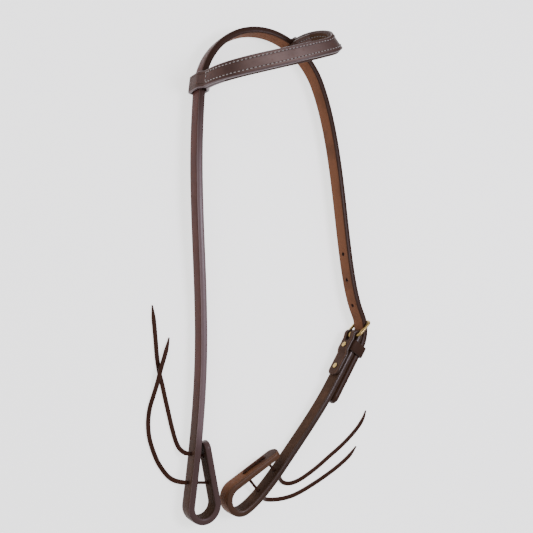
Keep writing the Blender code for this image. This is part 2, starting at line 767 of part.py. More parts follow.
def add_near_cheek(leather):
    """The near cheek: folded round the buckle's bar above, turned into the bit loop below."""
    inside, turn = fold_points()
    cheek, tail = near_cheek_route()
    down = straight_points(turn[-1], CHEEK_HEADING, FOLD_TAIL_LENGTH)
    fold = joined(inside, [inside[-1]] + turn)
    turn_start = distances(inside + turn[:1])[-1]
    turn_end = distances(fold)[-1]
    points = with_tip_points(joined(fold, down, cheek, tail))
    lengths = distances(points)
    bases = [near_base(length - turn_end) for length in lengths]
    thicknesses = []
    for length in lengths:
        thickened = min(max((length - turn_start) / (turn_end - turn_start), 0), 1)
        thicknesses.append(FOLD_THICKNESS + (STRAP_THICKNESS - FOLD_THICKNESS) * thickened)
    stations = standing_stations(points, bases, thicknesses)
    piece = add_piece("near_cheek", loft([strap_ring(station) for station in stations]), leather)
    slot_size = (2 * TONGUE_SLOT_REACH, 2 * (CHEEK_OUTER_FACE + CUT_OVERRUN), TONGUE_SLOT_WIDTH)
    holes = [loft(block(at_bar(0, 0, MID_LIFTED), CHEEK_UP, CHEEK_OUT, UP, slot_size))]
    holes += [screw_hole(place, POST_RADIUS + SEAT_GAP) for place in (UPPER_SCREW_PLACE, LOWER_SCREW_PLACE)]
    lines = lace_lines(cheek, tail, NEAR_LACE_LEAD)
    for line in lines:
        direction = (line[1] - line[0]).normalized()
        holes += [lace_hole(middle, direction) for middle in line]
    cut(piece, "near_cheek_holes", holes)
    return piece, lines


def add_keeper(leather):
    """The keeper: a flat loop round the cheek and the crown strap's end, its inner wall in the fold."""
    inner = CHEEK_INNER_FACE - SEAT_GAP - KEEPER_THICKNESS / 2
    outer = BILLET_OFFSET + STRAP_THICKNESS / 2 + SEAT_GAP + KEEPER_THICKNESS / 2
    low = LIFT - SEAT_GAP - KEEPER_THICKNESS / 2
    high = LIFT + STRAP_WIDTH + SEAT_GAP + KEEPER_THICKNESS / 2
    corners = [(outer, high, 0), (inner, high, 90), (inner, low, 180), (outer, low, 270)]
    stations = []
    middle = -(KEEPER_START + KEEPER_WIDTH / 2)
    for offset, height, first_angle in corners:
        inward = 1 if offset == inner else -1
        downward = 1 if height == low else -1
        for step in range(4):
            angle = math.radians(first_angle + step * 30)
            radius = KEEPER_CORNER_RADIUS
            out = offset + inward * radius + radius * math.cos(angle)
            tall = height + downward * radius + radius * math.sin(angle)
            normal = CHEEK_OUT * math.cos(angle) + UP * math.sin(angle)
            stations.append(Station(at_bar(middle, out, tall), CHEEK_UP, normal, KEEPER_WIDTH, KEEPER_THICKNESS))
    piece = add_piece("strap_keeper", loft([strap_ring(station) for station in stations], closed=True), leather)
    cut(piece, "strap_keeper_hole", [keeper_screw_hole()])
    return piece


def keeper_screw_hole():
    """Cutter for the upper screw's hole through the keeper's inner wall."""
    middle = CHEEK_INNER_FACE - SEAT_GAP - KEEPER_THICKNESS / 2
    ends = [at_bar(-UPPER_SCREW_PLACE, middle - KEEPER_THICKNESS, MID_LIFTED),
            at_bar(-UPPER_SCREW_PLACE, middle + KEEPER_THICKNESS, MID_LIFTED)]
    return loft(tube_rings(ends, POST_RADIUS + SEAT_GAP, ROUND_SIDES))


def add_buckle_frame(brass):
    """The buckle's wire frame, with its origin on the bar that the cheek holds."""
    corners = [(0, -1, 180), (FRAME_LENGTH, -1, 270), (FRAME_LENGTH, 1, 0), (0, 1, 90)]
    radius = FRAME_CORNER_RADIUS
    points = []
    for along, side, first_angle in corners:
        inward = 1 if along == 0 else -1
        for step in range(5):
            angle = math.radians(first_angle + step * 22.5)
            reach = along + inward * radius + radius * math.cos(angle)
            tall = side * (FRAME_HALF_WIDTH - radius) + radius * math.sin(angle)
            points.append(BAR_CENTRE + FRAME_UP * reach + UP * (MID_LIFTED + tall))
    return add_piece("buckle_frame", loft(tube_rings(points, WIRE_RADIUS, WIRE_SIDES, closed=True), closed=True),
                     brass, BAR_CENTRE + UP * MID_LIFTED)


def add_buckle_tongue(brass):
    """The tongue, bent round the bar and lying over the frame's top bar."""
    points = []
    count = math.ceil(TONGUE_WRAP_ANGLE / (2 * LOOP_TURN_STEP))
    for index in range(count + 1):
        angle = math.radians(TONGUE_WRAP_ANGLE * (1 - index / count))
        place = FRAME_OUT * math.cos(angle) - FRAME_UP * math.sin(angle)
        points.append(BAR_CENTRE + place * TONGUE_OFFSET + UP * MID_LIFTED)
    length = FRAME_LENGTH + TONGUE_OVERHANG
    steps = 5
    for index in range(1, steps + 1):
        points.append(points[count] + FRAME_UP * (length * index / steps))
    rings = tube_rings(points, TONGUE_RADIUS, WIRE_SIDES)
    tip = points[-1] + FRAME_UP * (TONGUE_RADIUS / 2)
    rings.append([tip + (point - points[-1]) * 0.5 for point in rings[-1]])
    return add_piece("buckle_tongue", loft(rings), brass, BAR_CENTRE + UP * MID_LIFTED)


def add_screw_pair(name, place, fold_offset, brass):
    """One two-piece screw: a post from outside and a screw from inside."""
    outer_seat = CHEEK_OUTER_FACE + SEAT_GAP
    inner_seat = fold_offset - FOLD_THICKNESS / 2 - SEAT_GAP
    stack = outer_seat - inner_seat
    head_top = SCREW_HEAD_HEIGHT
    post = [(0, head_top), (SCREW_HEAD_RADIUS, head_top), (SCREW_HEAD_RADIUS, 0), (POST_RADIUS, 0),
            (POST_RADIUS, POST_END_DEPTH - stack), (POST_BORE_RADIUS, POST_END_DEPTH - stack),
            (POST_BORE_RADIUS, -POST_END_DEPTH), (0, -POST_END_DEPTH)]
    add_piece("screw_post_" + name, turned_body(post, at_bar(-place, outer_seat, MID_LIFTED), CHEEK_OUT), brass)
    shank = stack - 2 * POST_END_DEPTH
    rim = SCREW_HEAD_RADIUS * 0.6
    screw = [(0, head_top), (rim, head_top), (SCREW_HEAD_RADIUS, head_top / 2), (SCREW_HEAD_RADIUS, 0),
             (SHANK_RADIUS, 0), (SHANK_RADIUS, -shank), (0, -shank)]
    foot = at_bar(-place, inner_seat, MID_LIFTED)
    piece = add_piece("screw_" + name, turned_body(screw, foot, -CHEEK_OUT), brass)
    slot_centre = foot - CHEEK_OUT * head_top
    sizes = (SCREW_SLOT_WIDTH, 2 * SCREW_SLOT_DEPTH, 4 * SCREW_HEAD_RADIUS)
    cut(piece, "screw_slot_" + name, [loft(block(slot_centre, CHEEK_UP, CHEEK_OUT, UP, sizes))])
    return piece


# Ear piece

def ear_end_frame(angle):
    """Outward and clockwise directions of the crown arc at an angle."""
    outward = heading_vector(angle)
    return outward, turned(outward, -90)


def ear_arch():
    """Middle, width direction and normal of the ear band, from the off loop's neck to the poll loop's."""
    neck = UP * (LIFT + STRAP_WIDTH + EAR_LOOP_NECK)
    off_out, off_along = ear_end_frame(EAR_OFF_ANGLE)
    poll_out, poll_along = ear_end_frame(EAR_POLL_ANGLE)
    start = CROWN_CENTRE + off_out * CROWN_RADIUS + neck
    end = CROWN_CENTRE + poll_out * CROWN_RADIUS + neck
    over = (end - start).normalized()
    peak = end + UP * EAR_PEAK_RISE - over * EAR_PEAK_BACK - turned(over, 90) * EAR_PEAK_INWARD
    level = heading_vector(EAR_PEAK_HEADING)
    fall = math.radians(EAR_PEAK_FALL)
    heading = level * math.cos(fall) - UP * math.sin(fall)
    leg = held_curve(start, UP * EAR_OFF_PULL, peak, heading * EAR_PEAK_PULL_IN, EAR_LEG_STATIONS)
    turn = held_curve(peak, heading * EAR_PEAK_PULL_OUT, end, -UP * EAR_POLL_PULL, EAR_TURN_STATIONS)
    points = joined(leg, turn)
    lengths = distances(points)
    peak_length = lengths[EAR_LEG_STATIONS]
    tangents = directions(points)
    tangents[0] = UP.copy()
    tangents[-1] = -UP
    tilt = math.radians(EAR_PEAK_TILT)
    peak_across = turned(level, 90) * math.cos(tilt) + UP * math.sin(tilt)
    frames = []
    for point, tangent, length in zip(points, tangents, lengths):
        if length < peak_length:
            blend = smooth_step(length / peak_length)
            across = off_along * (1 - blend) + peak_across * blend
        else:
            blend = smooth_step(((length - peak_length) / (lengths[-1] - peak_length)) ** EAR_TWIST_HOLD)
            across = peak_across * (1 - blend) - poll_along * blend
        across = (across - tangent * across.dot(tangent)).normalized()
        frames.append((point, across, tangent.cross(across)))
    return frames


def ear_loop(angle):
    """Middle line of the loop round the crown strap at an end, from the inner side round to the outer."""
    outward, along = ear_end_frame(angle)
    reach = STRAP_THICKNESS / 2 + LOOP_CLEARANCE + EAR_PLY / 2
    bottom = LIFT - LOOP_CLEARANCE - EAR_PLY / 2
    shoulder = LIFT + STRAP_WIDTH + LOOP_CLEARANCE
    radius = EAR_LOOP_CORNER_RADIUS
    points = [(-reach, shoulder), (-reach, bottom + radius)]
    for first_angle, side in ((180, -1), (270, 1)):
        for step in range(4):
            turn = math.radians(first_angle + 30 * step)
            points.append((side * (reach - radius) + radius * math.cos(turn),
                           bottom + radius + radius * math.sin(turn)))
    points += [(reach, bottom + radius), (reach, shoulder)]
    unique = list(dict.fromkeys(points))
    base = CROWN_CENTRE + outward * CROWN_RADIUS
    return [base + outward * out + UP * tall for out, tall in unique], along


def ply_stations(points, acrosses):
    """Stations of an ear ply along its middle line."""
    stations = []
    for point, tangent, across in zip(points, directions(points), acrosses):
        square = (across - tangent * across.dot(tangent)).normalized()
        stations.append(Station(point, square, tangent.cross(square), EAR_WIDTH, EAR_PLY))
    return stations


def ear_tail_count(frames):
    """How many of the band's stations an ear tail covers."""
    lengths = distances([frame[0] for frame in frames])
    return next(index for index, length in enumerate(lengths) if length >= EAR_TAIL_LENGTH)


def add_ear_piece(leather, lining, thread):
    """The sliding ear piece, with its origin at the centre of the crown arc that it slides round."""
    frames = ear_arch()
    half_gap = (EAR_PLY + SEAT_GAP) / 2
    outer = [point + normal * half_gap for point, _, normal in frames]
    inner = [point - normal * half_gap for point, _, normal in frames]
    acrosses = [across for _, across, _ in frames]
    tail = ear_tail_count(frames)
    off_loop, off_across = ear_loop(EAR_OFF_ANGLE)
    poll_loop, poll_across = ear_loop(EAR_POLL_ANGLE)
    poll_loop.reverse()
    points = list(reversed(inner[:tail + 1])) + off_loop + outer + poll_loop + list(reversed(inner[-tail - 1:]))
    across_all = (list(reversed(acrosses[:tail + 1])) + [off_across] * len(off_loop) + acrosses
                  + [-poll_across] * len(poll_loop) + list(reversed(acrosses[-tail - 1:])))
    face = ply_stations(points, across_all)
    add_piece("ear_face", loft([strap_ring(station) for station in face]), leather, CROWN_CENTRE)
    middle = ply_stations(inner[tail + 1:-tail - 1], acrosses[tail + 1:-tail - 1])
    add_piece("ear_lining", loft([strap_ring(station) for station in middle]), lining, CROWN_CENTRE)
    add_ear_thread(frames, thread)


def add_ear_thread(frames, thread):
    """The sewing thread: up one edge of the band's face, across and down the other."""
    lift = EAR_PLY + SEAT_GAP / 2 + SEAT_GAP + THREAD_RADIUS
    side = EAR_WIDTH / 2 - THREAD_MARGIN
    first = []
    second = []
    lengths = distances([frame[0] for frame in frames])
    for (point, across, normal), length in zip(frames, lengths):
        if length < THREAD_SETBACK or length > lengths[-1] - THREAD_SETBACK:
            continue
        first.append(point + normal * lift + across * side)
        second.append(point + normal * lift - across * side)
    path = first + list(reversed(second))
    add_piece("ear_thread", loft(tube_rings(path, THREAD_RADIUS, 6, closed=True), closed=True), thread,
              CROWN_CENTRE)


def centre_on_footprint():
    """Hangs every piece on one empty and moves that so that the footprint's middle is the origin."""
    pieces = [piece for piece in bpy.data.objects if piece.type in {"MESH", "CURVE"}]
    solid = [piece for piece in pieces if piece.type == "MESH" and not piece.hide_render]
    places = [vertex.co + piece.location for piece in solid for vertex in piece.data.vertices]
    low = Vector([min(place[axis] for place in places) for axis in range(3)])
    high = Vector([max(place[axis] for place in places) for axis in range(3)])
    holder = bpy.data.objects.new("headstall", None)
    bpy.context.collection.objects.link(holder)
    holder.location = Vector((-(low.x + high.x) / 2, -(low.y + high.y) / 2, -low.z))
    for piece in pieces:
        piece.parent = holder


def main():
    """Builds the headstall."""
    for old in list(bpy.data.objects):
        bpy.data.objects.remove(old)
    dark = material("strap_leather", (0.085, 0.035, 0.026), 0.45, 0)
    lining = material("lining_leather", (0.17, 0.075, 0.04), 0.6, 0)
    lace = material("lace_leather", (0.075, 0.035, 0.028), 0.55, 0)
    thread = material("thread", (0.55, 0.52, 0.5), 0.7, 0)
    brass = material("brass", (0.72, 0.53, 0.2), 0.3, 1)
    _, off_lines = add_crown_strap(dark)
    _, near_lines = add_near_cheek(dark)
    add_keeper(dark)
    add_buckle_frame(brass)
    add_buckle_tongue(brass)
    add_screw_pair("upper", UPPER_SCREW_PLACE, FOLD_OPEN_OFFSET, brass)
    add_screw_pair("lower", LOWER_SCREW_PLACE, FOLD_SHUT_OFFSET, brass)
    add_ear_piece(dark, lining, thread)
    add_piece("off_lace", held_lace(off_lines), lace)
    add_piece("near_lace", held_lace(near_lines), lace)
    add_lace_end("off_lace_lower_end", lace_end_points(off_lines[0], OFF_LOWER_LACE), lace)
    add_lace_end("off_lace_upper_end", lace_end_points(off_lines[1], OFF_UPPER_LACE), lace)
    add_lace_end("near_lace_lower_end", lace_end_points(near_lines[0], NEAR_LOWER_LACE), lace)
    add_lace_end("near_lace_upper_end", lace_end_points(near_lines[1], NEAR_UPPER_LACE), lace)
    centre_on_footprint()


main()
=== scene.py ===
"""Slide ear headstall as it looks: leather, laces, sewing and brass over its solid frame.

Metres, in the frame of the solid model: +X from the off cheek to the near cheek, +Y from the bit
loops to the crown, +Z up across the width of the straps.
"""
import json
import math
from collections import namedtuple
from functools import partial

import bmesh
import bpy
from bpy.props import FloatProperty, FloatVectorProperty, IntProperty, PointerProperty
from mathutils import Matrix, Vector


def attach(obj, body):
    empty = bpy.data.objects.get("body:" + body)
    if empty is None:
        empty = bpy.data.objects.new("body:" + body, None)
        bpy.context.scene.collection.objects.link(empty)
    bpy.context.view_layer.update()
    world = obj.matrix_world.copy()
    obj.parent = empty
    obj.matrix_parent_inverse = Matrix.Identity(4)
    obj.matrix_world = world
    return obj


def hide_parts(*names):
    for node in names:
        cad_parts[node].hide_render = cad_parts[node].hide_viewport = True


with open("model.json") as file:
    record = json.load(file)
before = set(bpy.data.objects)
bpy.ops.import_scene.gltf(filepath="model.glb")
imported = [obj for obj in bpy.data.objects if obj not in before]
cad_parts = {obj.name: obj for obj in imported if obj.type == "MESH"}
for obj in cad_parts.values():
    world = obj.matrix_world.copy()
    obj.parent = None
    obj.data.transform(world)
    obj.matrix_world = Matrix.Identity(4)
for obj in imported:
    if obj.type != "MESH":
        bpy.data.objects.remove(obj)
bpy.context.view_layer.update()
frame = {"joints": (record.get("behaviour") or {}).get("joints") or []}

bl_info = {
    "name": "Slide ear headstall",
    "version": (1, 0, 0),
    "blender": (4, 5, 0),
    "location": "View3D > Sidebar > Headstall",
    "description": "Builds the leather, laces, sewing and brass of a slide ear headstall",
    "category": "Object",
}

UP = Vector((0, 0, 1))
JOINTS = {joint["name"]: joint for joint in frame["joints"]}
CROWN_CENTRE = Vector(JOINTS["ear_slide"]["pos_m"])
BAR_CENTRE = Vector((JOINTS["buckle_swing"]["pos_m"][0], JOINTS["buckle_swing"]["pos_m"][1], 0))

# Straps
STRAP_WIDTH = 0.016
STRAP_THICKNESS = 0.0060
FOLD_THICKNESS = 0.0032
TIP_CORNER_RADIUS = 0.0062
STATION_LENGTH = 0.004
TURN_STEP = 3.0
LOOP_TURN_STEP = 6.0
SEAT_GAP = 0.0003
LOOP_CLEARANCE = 0.0007
SECTION_SWELL = 0.03

# Crown and bit loops
CROWN_RADIUS = 0.0717
CROWN_OFF_ANGLE = 176.0
CROWN_NEAR_ANGLE = 25.0
BIT_LOOP_RADIUS = 0.0132
OFF_LOOP_SIDE = 0.0648
OFF_LOOP_DROP = 0.3801
OFF_LOOP_HEADING = -97.8
OFF_CROWN_PULL_SHARE = 1.28
OFF_LOOP_PULL_SHARE = 1.62
BIT_LOOPS_APART = 0.0062
NEAR_LOOP_RAISE = 0.0009
NEAR_LOOP_HEADING = -158.0
NEAR_CHEEK_PULL_SHARE = 0.60
NEAR_LOOP_PULL_SHARE = 0.60
BIT_TAIL_LENGTH = 0.056
OFF_TAIL_GAP = 0.0022
NEAR_TAIL_GAP = 0.0062

# Buckle and fold
CHEEK_HEADING = -124.0
WIRE_RADIUS = 0.0016
FRAME_LENGTH = 0.0215
FRAME_HALF_WIDTH = 0.0106
FRAME_CORNER_RADIUS = 0.0040
TONGUE_RADIUS = 0.0012
TONGUE_OVERHANG = 0.0030
TONGUE_WRAP_ANGLE = 250.0
BUCKLE_BEND_RADIUS = 0.035
BUCKLE_BEND_ANGLE = 61.0
NEAR_CROWN_PULL_SHARE = 0.95
BUCKLE_PULL_SHARE = 0.65
BILLET_LENGTH = 0.065
FOLD_TAIL_LENGTH = 0.048
FOLD_CLOSING_LENGTH = 0.006
KEEPER_START = 0.0052
KEEPER_WIDTH = 0.0120
KEEPER_THICKNESS = 0.0018
KEEPER_CORNER_RADIUS = 0.0016
KEEPER_ROUNDING = 0.0006
UPPER_SCREW_PLACE = 0.0135
LOWER_SCREW_PLACE = 0.038
SCREW_HEAD_RADIUS = 0.0028
SCREW_HEAD_HEIGHT = 0.0010
POST_RADIUS = 0.0019
POST_BORE_RADIUS = 0.0013
POST_WALL = 0.0006
SHANK_RADIUS = 0.0009
SHANK_SHORT_OF_POST = 0.0012
SCREW_SLOT_WIDTH = 0.0008
SCREW_SLOT_DEPTH = 0.0004
FOLD_SLOT_SIZES = (0.016, 0.0210, 0.0052)
FOLD_HOLE_REACH = 0.0105
KEEPER_HOLE_REACH = 0.0025

# Holes and laces
ADJUSTING_HOLE_RADIUS = 0.0020
ADJUSTING_HOLE_PITCH = 0.0275
TONGUE_HOLE_SETBACK = 0.0007
TONGUE_HOLE_LEAD = 0.002
TONGUE_HOLE_SIZES = (0.0046, 0.0040)
STRAP_HOLE_REACH = 0.0052
LACE_RADIUS = 0.0013
LACE_HOLE_RADIUS = 0.0019
LACE_HOLE_PLACE = 0.0165
LACE_HOLE_PITCH = 0.025
OFF_LACE_LEAD = 0.0035
NEAR_LACE_LEAD = 0.0065
LACE_STUB = 0.0012
LACE_CORNER_RADIUS = 0.0020
LACE_LYING_HEIGHT = 0.0015
LACE_SETTLED_FROM = 0.0070
LACE_SETTLED_BY = 0.0020
LACE_PATH_STEP = 0.0022
LACE_ROOT_WIDTHS = (0.8, 0.9)
LACE_TIP_WIDTHS = (0.22, 0.36, 0.52, 0.68, 0.82, 0.93)
FLOOR_GAP = 0.0001

# Ear piece
EAR_WIDTH = 0.016
EAR_PLY = 0.0029
EAR_ROUNDING = 0.0008
EAR_OFF_ANGLE = 173.4
EAR_POLL_ANGLE = 61.2
EAR_LOOP_NECK = 0.0065
EAR_LOOP_CORNER_RADIUS = 0.0018
EAR_TAIL_LENGTH = 0.020
EAR_PEAK_RISE = 0.0572
EAR_PEAK_BACK = 0.0188
EAR_PEAK_INWARD = 0.0162
EAR_PEAK_HEADING = 23.0
EAR_PEAK_FALL = 6.0
EAR_PEAK_TILT = -22.0
EAR_TWIST_HOLD = 1.3
EAR_OFF_PULL = 0.110
EAR_PEAK_PULL_IN = 0.220
EAR_PEAK_PULL_OUT = 0.078
EAR_POLL_PULL = 0.100
EAR_LEG_STATIONS = 54
EAR_TURN_STATIONS = 66
THREAD_SETBACK = 0.0030
THREAD_OUT_SHARE = 0.12
EAR_OFF_TAIL_EXTRA = 0.004

# Lift of the straps over the surface
OFF_RAMP_START = 0.090
OFF_RAMP_LENGTH = 0.130
NEAR_RAMP_START = 0.065
NEAR_RAMP_LENGTH = 0.085
LIFT = FRAME_HALF_WIDTH + WIRE_RADIUS - STRAP_WIDTH / 2
MID_LIFTED = LIFT + STRAP_WIDTH / 2

# Around a strap's section: face, edge, back, edge, as shares of the way round
FACE_END = 0.36
BACK_START = 0.50
BACK_END = 0.86
EDGE_SHARE = (FACE_END + BACK_START) / 2

# A strap's surface: what goes in and out, and distances along a strap where its colours change
LEATHER_INPUTS = ("Place", "Along", "Around", "Face Color", "Drawn Color", "Back Color", "Edge Color",
                  "Polish", "Groove Place", "Groove Width", "Drawn From", "Drawn Length", "Glaze",
                  "Oiled Color", "Oiled Until", "Dark Edge Color", "Dark Edge From", "Drawn Until")
LEATHER_OUTPUTS = ("Color", "Roughness", "Height", "Glaze")
NO_GROOVE = 5.0
BEYOND = 50.0
# Length over which the painted shade on the back round a bit loop fades out
LOOP_SHADE_CHANGE = 0.03
DARK_EDGE_CHANGE = 0.16
# Up to here along the crown strap, from its off loop, the edges carry a painted highlight; from here on they
# keep their own dark colour
CROWN_EDGE_DARK_FROM = 0.36
OFF_END_DARK_UNTIL = 0.15

# Camera: how far it leans to the side and front, its distance and what it looks at
CAMERA_SIDE_ANGLE = 32.0
CAMERA_FRONT_ANGLE = 3.0
CAMERA_DISTANCE = 0.670
CAMERA_AIM = Vector((0.0101, -0.1595, 0))
FOCAL_SHARE = 670 / 533
SENSOR_MM = 36.0

Station = namedtuple("Station", "centre across normal width thickness")


# Shapes along a path

def turned(vector, degrees):
    return Matrix.Rotation(math.radians(degrees), 3, "Z") @ vector


def heading_vector(degrees):
    return turned(Vector((1, 0, 0)), degrees)


def smooth_step(value):
    share = min(max(value, 0), 1)
    return share * share * (3 - 2 * share)


def arc_points(start, heading, radius, turn, step=TURN_STEP):
    centre = start + radius * heading_vector(heading + math.copysign(90, turn))
    count = max(2, math.ceil(abs(turn) / step))
    return [centre + turned(start - centre, turn * index / count) for index in range(count + 1)]


def straight_points(start, heading, length):
    count = max(1, math.ceil(length / STATION_LENGTH))
    return [start + heading_vector(heading) * (length * index / count) for index in range(count + 1)]


def held_curve(start, leave, end, arrive, count):
    points = []
    for index in range(count + 1):
        share = index / count
        square, cube = share ** 2, share ** 3
        points.append(start * (2 * cube - 3 * square + 1) + leave * (cube - 2 * square + share)
                      + end * (3 * square - 2 * cube) + arrive * (cube - square))
    return points


def bent_points(start, start_heading, start_share, end, end_heading, end_share):
    chord = (end - start).length
    leave = heading_vector(start_heading) * (chord * start_share)
    arrive = heading_vector(end_heading) * (chord * end_share)
    return held_curve(start, leave, end, arrive, math.ceil(chord / STATION_LENGTH))


def joined(*runs):
    points = list(runs[0])
    for run in runs[1:]:
        points.extend(run[1:])
    return points


def distances(points):
    lengths = [0]
    for first, second in zip(points, points[1:]):
        lengths.append(lengths[-1] + (second - first).length)
    return lengths


def point_at(points, distance):
    lengths = distances(points)
    for index in range(1, len(points)):
        if lengths[index] >= distance or index == len(points) - 1:
            step = points[index] - points[index - 1]
            share = (distance - lengths[index - 1]) / step.length
            return points[index - 1] + step * share, step.normalized()


def directions(points):
    last = len(points) - 1
    return [(points[min(index + 1, last)] - points[max(index - 1, 0)]).normalized()
            for index in range(last + 1)]


def smooth_curve(points, spacing):
    """Evenly spaced points of a smooth curve through the given ones."""
    padded = [points[0] * 2 - points[1]] + points + [points[-1] * 2 - points[-2]]
    fine = joined(*[held_curve(first, (second - before) / 2, second, (after - first) / 2, 20)
                    for before, first, second, after in zip(padded, points, points[1:], padded[3:])])
    total = distances(fine)[-1]
    count = math.ceil(total / spacing)
    return [point_at(fine, total * index / count)[0] for index in range(count)] + [points[-1]]


def with_tip_points(points):
    """Adds close points near both ends, where a strap's corners are rounded."""
    for _ in range(2):
        tip, toward = points[0], (points[1] - points[0]).normalized()
        extra = [tip + toward * (TIP_CORNER_RADIUS * share) for share in (0.03, 0.1, 0.2, 0.35, 0.55, 0.8, 1)]
        kept = [point for point in points if (point - tip).length > TIP_CORNER_RADIUS * 1.2]
        points = [tip] + extra + kept
        points.reverse()
    return points


def tip_inset(distance):
    run = max(TIP_CORNER_RADIUS - distance, 0)
    return TIP_CORNER_RADIUS - math.sqrt(TIP_CORNER_RADIUS ** 2 - run ** 2)


# Strap routes, in plan

CHEEK_UP = -heading_vector(CHEEK_HEADING)
CHEEK_OUT = turned(CHEEK_UP, -90)
WRAP_RADIUS = WIRE_RADIUS + SEAT_GAP
CHEEK_INNER_FACE = WRAP_RADIUS
CHEEK_OFFSET = WRAP_RADIUS + STRAP_THICKNESS / 2
CHEEK_OUTER_FACE = WRAP_RADIUS + STRAP_THICKNESS
BILLET_OFFSET = CHEEK_OUTER_FACE + SCREW_HEAD_HEIGHT + 2 * SEAT_GAP + STRAP_THICKNESS / 2
FOLD_OPEN_OFFSET = CHEEK_INNER_FACE - KEEPER_THICKNESS - 2 * SEAT_GAP - FOLD_THICKNESS / 2
FOLD_SHUT_OFFSET = CHEEK_INNER_FACE - SEAT_GAP - FOLD_THICKNESS / 2
TONGUE_OFFSET = WIRE_RADIUS + SEAT_GAP + TONGUE_RADIUS


def at_bar(along, outward, height=0):
    """A place near the buckle: along the cheek up from the bar, outward from it, and its height."""
    return BAR_CENTRE + CHEEK_UP * along + CHEEK_OUT * outward + UP * height


def buckle_bend_centre():
    distance = BUCKLE_BEND_RADIUS - STRAP_THICKNESS / 2 - CHEEK_OUTER_FACE - SEAT_GAP
    depth = BUCKLE_BEND_RADIUS - BILLET_OFFSET
    return at_bar(-math.sqrt(max(distance ** 2 - depth ** 2, 0)), BILLET_OFFSET - BUCKLE_BEND_RADIUS)


BEND_CENTRE = buckle_bend_centre()


def frame_heading():
    reach = BUCKLE_BEND_RADIUS + STRAP_THICKNESS / 2 + SEAT_GAP + WIRE_RADIUS
    away = BEND_CENTRE - BAR_CENTRE
    share = (FRAME_LENGTH ** 2 + away.length ** 2 - reach ** 2) / (2 * FRAME_LENGTH * away.length)
    return math.degrees(math.atan2(away.y, away.x) - math.acos(share))


FRAME_UP = heading_vector(frame_heading())
FRAME_OUT = turned(FRAME_UP, -90)


def distance_to(points, side, place):
    best = None
    for first, second in zip(points, points[1:]):
        run = second - first
        share = min(max((place - first).dot(run) / run.length_squared, 0), 1)
        apart = place - first - run * share
        if best is None or apart.length < abs(best):
            best = math.copysign(apart.length, turned(run, 90).dot(apart) * side)
    return best


def loop_and_tail(loop_centre, heading, side, cheek, tail_gap):
    """Points round a bit loop and up its tail, whose tip stands tail_gap off the cheek."""
    start = loop_centre - BIT_LOOP_RADIUS * heading_vector(heading + 90 * side)
    few, many = 150.0, 240.0
    for _ in range(30):
        turn = (few + many) / 2
        loop = arc_points(start, heading, BIT_LOOP_RADIUS, side * turn, LOOP_TURN_STEP)
        tail = straight_points(loop[-1], heading + side * turn, BIT_TAIL_LENGTH)
        if distance_to(cheek, side, tail[-1]) > STRAP_THICKNESS + tail_gap:
            few = turn
        else:
            many = turn
    return joined(loop, tail)


def cheek_and_loop(start, heading, pull_share, centre, loop_heading, loop_pull_share, side, tail_gap):
    """Points down a cheek, and points round its bit loop and up the tail."""
    loop_start = centre - BIT_LOOP_RADIUS * heading_vector(loop_heading + 90 * side)
    cheek = bent_points(start, heading, pull_share, loop_start, loop_heading, loop_pull_share)
    return cheek, loop_and_tail(centre, loop_heading, side, cheek, tail_gap)


def off_route():
    start = CROWN_CENTRE + heading_vector(CROWN_OFF_ANGLE) * CROWN_RADIUS
    centre = CROWN_CENTRE + Vector((-OFF_LOOP_SIDE, -OFF_LOOP_DROP, 0))
    return cheek_and_loop(start, CROWN_OFF_ANGLE + 90, OFF_CROWN_PULL_SHARE, centre, OFF_LOOP_HEADING,
                          OFF_LOOP_PULL_SHARE, 1, OFF_TAIL_GAP)


def near_cheek_route():
    start = at_bar(-FOLD_TAIL_LENGTH, CHEEK_OFFSET)
    apart = 2 * BIT_LOOP_RADIUS + STRAP_THICKNESS + BIT_LOOPS_APART
    centre = CROWN_CENTRE + Vector((apart - OFF_LOOP_SIDE, NEAR_LOOP_RAISE - OFF_LOOP_DROP, 0))
    return cheek_and_loop(start, CHEEK_HEADING, NEAR_CHEEK_PULL_SHARE, centre, NEAR_LOOP_HEADING,
                          NEAR_LOOP_PULL_SHARE, -1, NEAR_TAIL_GAP)


def crown_and_billet():
    off_end = CROWN_CENTRE + heading_vector(CROWN_OFF_ANGLE) * CROWN_RADIUS
    crown = arc_points(off_end, CROWN_OFF_ANGLE - 90, CROWN_RADIUS, CROWN_NEAR_ANGLE - CROWN_OFF_ANGLE)
    bend_heading = CHEEK_HEADING + BUCKLE_BEND_ANGLE
    bend_top = BEND_CENTRE + BUCKLE_BEND_RADIUS * heading_vector(bend_heading + 90)
    side = bent_points(crown[-1], CROWN_NEAR_ANGLE - 90, NEAR_CROWN_PULL_SHARE,
                       bend_top, bend_heading, BUCKLE_PULL_SHARE)
    bend = arc_points(bend_top, bend_heading, BUCKLE_BEND_RADIUS, -BUCKLE_BEND_ANGLE)
    return joined(crown, side, bend, straight_points(bend[-1], CHEEK_HEADING, BILLET_LENGTH))


def billet_crossing():
    start = BAR_CENTRE + FRAME_OUT * TONGUE_OFFSET
    away = start - BEND_CENTRE
    along = away.dot(FRAME_UP)
    return start + FRAME_UP * (math.sqrt(along ** 2 - away.length_squared + BUCKLE_BEND_RADIUS ** 2) - along)


